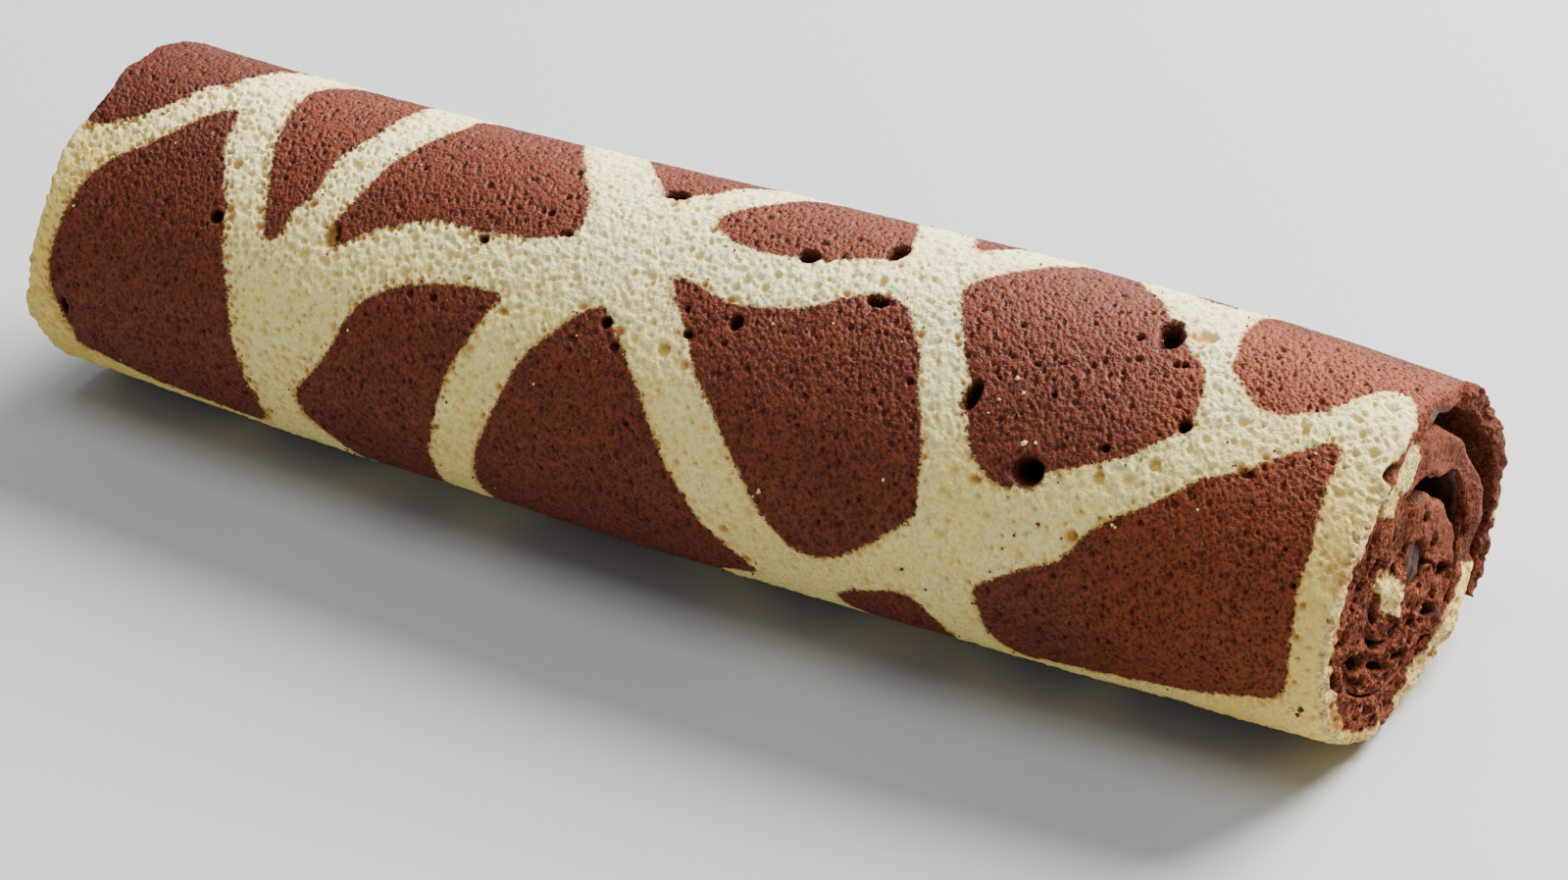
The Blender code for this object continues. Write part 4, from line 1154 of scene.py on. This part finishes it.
def ganacheFinish():
    # one cloudy noise sets its colour, its relief and its roughness
    finish = bpy.data.materials.new("ganacheGloss")
    add, maths, blend, span = nodeMaker(finish)
    look = ganacheLook
    where = add("TexCoord").outputs["Object"]
    cloudy = add("TexNoise", Vector=where, Scale=420.0, Detail=4.0, Roughness=0.6).outputs["Fac"]
    colour = blend(span(cloudy, 0.35, 0.7), look["dark"], look["light"])
    bump = add("Bump", Strength=0.5, Distance=look["bump"], Height=cloudy).outputs["Normal"]
    rough = span(cloudy, 0.3, 0.7, look["roughness"])
    shader = add("BsdfPrincipled", Base_Color=colour, Roughness=rough, Normal=bump,
                 Specular_IOR_Level=look["level"], Specular_Tint=look["gloss"])
    add("OutputMaterial", Surface=shader.outputs[0])
    return finish


finishes["ganache"] = ganacheFinish()


def makeGanache(name, points, node):
    # a closed grid of ganache, turned so that it faces outwards
    cells = gridCells(*points.shape[:2], True).reshape(-1, 4)
    normals = gridNormals(points).reshape(-1, 3)
    flat, normals, fields, cells = welded(points.reshape(-1, 3), normals, {}, cells)
    makePiece(name, flat, -normals, cells, fields, "ganache", node)


filling = {
    "x": (0, 60, 105, 128, 138, 143, 146, 147.6, 148.6, 149.2),
    "pitch": 0.7,
    "thick": 0.9,  # where it shows beside a hollow
    "thin": 0.72,
    "recess": 0.9,  # how far it stands back from the cut
}


def fillingPoints():
    # a thin band wound between the turns: out along one face, round the end and back along the other
    first, last = (runAt(degrees) for degrees in sheet["filmAngles"])
    run = stretch(first, last, filling["pitch"] * coarser)[:, None]
    hollow = through(sheet["hollows"], degreesAt(run) + 360)
    taper = np.sqrt(np.clip(1 - (2 * (run - first) / (last - first) - 1) ** 8, 0, 1))
    inside = faceDepth(run, 1) - 0.12
    thick = (filling["thin"] + (filling["thick"] - filling["thin"]) * smooth(hollow / 2)) * taper
    half = np.array(filling["x"], float)
    along = np.concatenate([half[::-1], -half[1:]])
    x = np.concatenate([along, along[::-1][1:-1], along[:1]])[None, :]
    onFar = np.concatenate([np.zeros(len(along)), np.ones(len(along) - 2), [0]])[None, :]
    nearEnd = smooth((np.abs(x) - 143) / 5)
    uneven = lumps((run + 0 * x, 0 * run + np.sign(x) * 9), 3.4, 81)
    recess = filling["recess"] * (1 + 0.9 * uneven) * nearEnd
    wobble = 0.18 * lumps((run + 0 * x, x + 0 * run), 1.7, 83) * nearEnd
    return onRoll(x - np.sign(x) * recess, run + 0 * x, inside + thick * onFar + wobble)


core = {
    # half the profile, (x, radius) from the middle of the face to half way along
    "profile": ((148.9, 0), (148.9, 1), (148.9, 2), (148.9, 3), (148.8, 3.8), (148.4, 4.4), (147.6, 4.8),
                (146, 4.9), (140, 4.9), (120, 4.9), (60, 4.9), (0, 4.9)),
    "sectors": 61,
}


def corePoints():
    # a rod whose profile runs from the middle of one face, over its rounded rim, to the middle of the other
    half = np.array(core["profile"])
    profile = np.concatenate([half, half[::-1][1:] * (-1, 1)])
    angle = np.radians(np.linspace(0, 360, core["sectors"]))[:, None]
    x, radius = profile[:, 0][None, :] + 0 * angle, profile[:, 1][None, :] + 0 * angle
    y, z = radius * np.cos(angle), radius * np.sin(angle)
    nearEnd = smooth((np.abs(x) - 146) / 2.5)
    bumps = 0.45 * lumps((y + x, z), 2.2, 91) + 0.25 * lumps((y + x, z), 1.0, 92)
    return place(x + np.sign(x) * bumps * nearEnd, angle + 0 * x, radius)


makeGanache("ganache_film", fillingPoints(), "ganache_filling")
makeGanache("ganache_middle", corePoints(), "ganache_core")


stage = {
    "floor": (0.50, 0.50, 0.49, 1),
    "floorHalf": 3.0,
    "world": (0.80, 0.84, 0.90, 1),
    "worldStrength": 0.33,
    # name, place, size, watts and colour; each light faces the roll
    "lights": (("window", (0.55, 1.50, 1.20), 1.3, 190, (1.0, 0.985, 0.95)),
               ("overhead", (0.0, -0.2, 1.7), 1.2, 14, (0.90, 0.94, 1.0)),
               ("fill", (0.9, -1.5, 0.5), 1.4, 3, (1.0, 0.96, 0.92))),
}


def makeFloor():
    half = stage["floorHalf"]
    corners = [(x * half, y * half, 0) for x, y in ((-1, -1), (1, -1), (1, 1), (-1, 1))]
    mesh = bpy.data.meshes.new("floor")
    mesh.from_pydata(corners, [], [(0, 1, 2, 3)])
    finish = bpy.data.materials.new("paleFloor")
    add = nodeMaker(finish)[0]
    shader = add("BsdfPrincipled", Base_Color=stage["floor"], Roughness=0.55)
    add("OutputMaterial", Surface=shader.outputs[0])
    mesh.materials.append(finish)
    floor = bpy.data.objects.new("floor", mesh)
    bpy.context.scene.collection.objects.link(floor)
    floor.location.z = -0.0002


def makeLight(name, where, size, watts, colour):
    lamp = bpy.data.lights.new(name, "AREA")
    lamp.shape, lamp.size, lamp.energy, lamp.color = "DISK", size, watts, colour
    light = bpy.data.objects.new(name, lamp)
    light.location = where
    light.rotation_euler = (Vector((0, 0, 0)) - Vector(where)).to_track_quat("-Z", "Y").to_euler()
    bpy.context.scene.collection.objects.link(light)


view = {
    "focal": 103.687,
    "sensor": 36.0,
    "azimuth": 33.00,
    "elevation": 31.754,
    "lean": -2.607,
    "distance": 0.90968,
    "target": (0.011154, 0.0, 0.017020),
}


def makeCamera():
    # stands back from the target by azimuth and elevation, then leans about its own line of sight
    azimuth, elevation, lean = (math.radians(view[angle]) for angle in ("azimuth", "elevation", "lean"))
    back = Vector((math.sin(azimuth) * math.cos(elevation), -math.cos(azimuth) * math.cos(elevation),
                   math.sin(elevation)))
    right = (-back).cross(Vector((0, 0, 1))).normalized()
    up = right.cross(-back)
    leaningRight = right * math.cos(lean) + up * math.sin(lean)
    leaningUp = -right * math.sin(lean) + up * math.cos(lean)
    turn = Matrix((leaningRight, leaningUp, back)).transposed()
    lens = bpy.data.cameras.new("camera")
    lens.sensor_width, lens.lens = view["sensor"], view["focal"]
    lens.clip_start, lens.clip_end = 0.02, 20.0
    camera = bpy.data.objects.new("camera", lens)
    stand = Vector(view["target"]) + back * view["distance"]
    camera.matrix_world = Matrix.Translation(stand) @ turn.to_4x4()
    bpy.context.scene.collection.objects.link(camera)
    bpy.context.scene.camera = camera


def makeWorld():
    world = bpy.data.worlds.new("softRoom")
    world.use_nodes = True
    inputs = world.node_tree.nodes["Background"].inputs
    inputs[0].default_value, inputs[1].default_value = stage["world"], stage["worldStrength"]
    bpy.context.scene.world = world


print("setting the floor, the lights and the camera")
makeFloor()
for light in stage["lights"]:
    makeLight(*light)
makeCamera()
makeWorld()

bpy.context.view_layer.update()
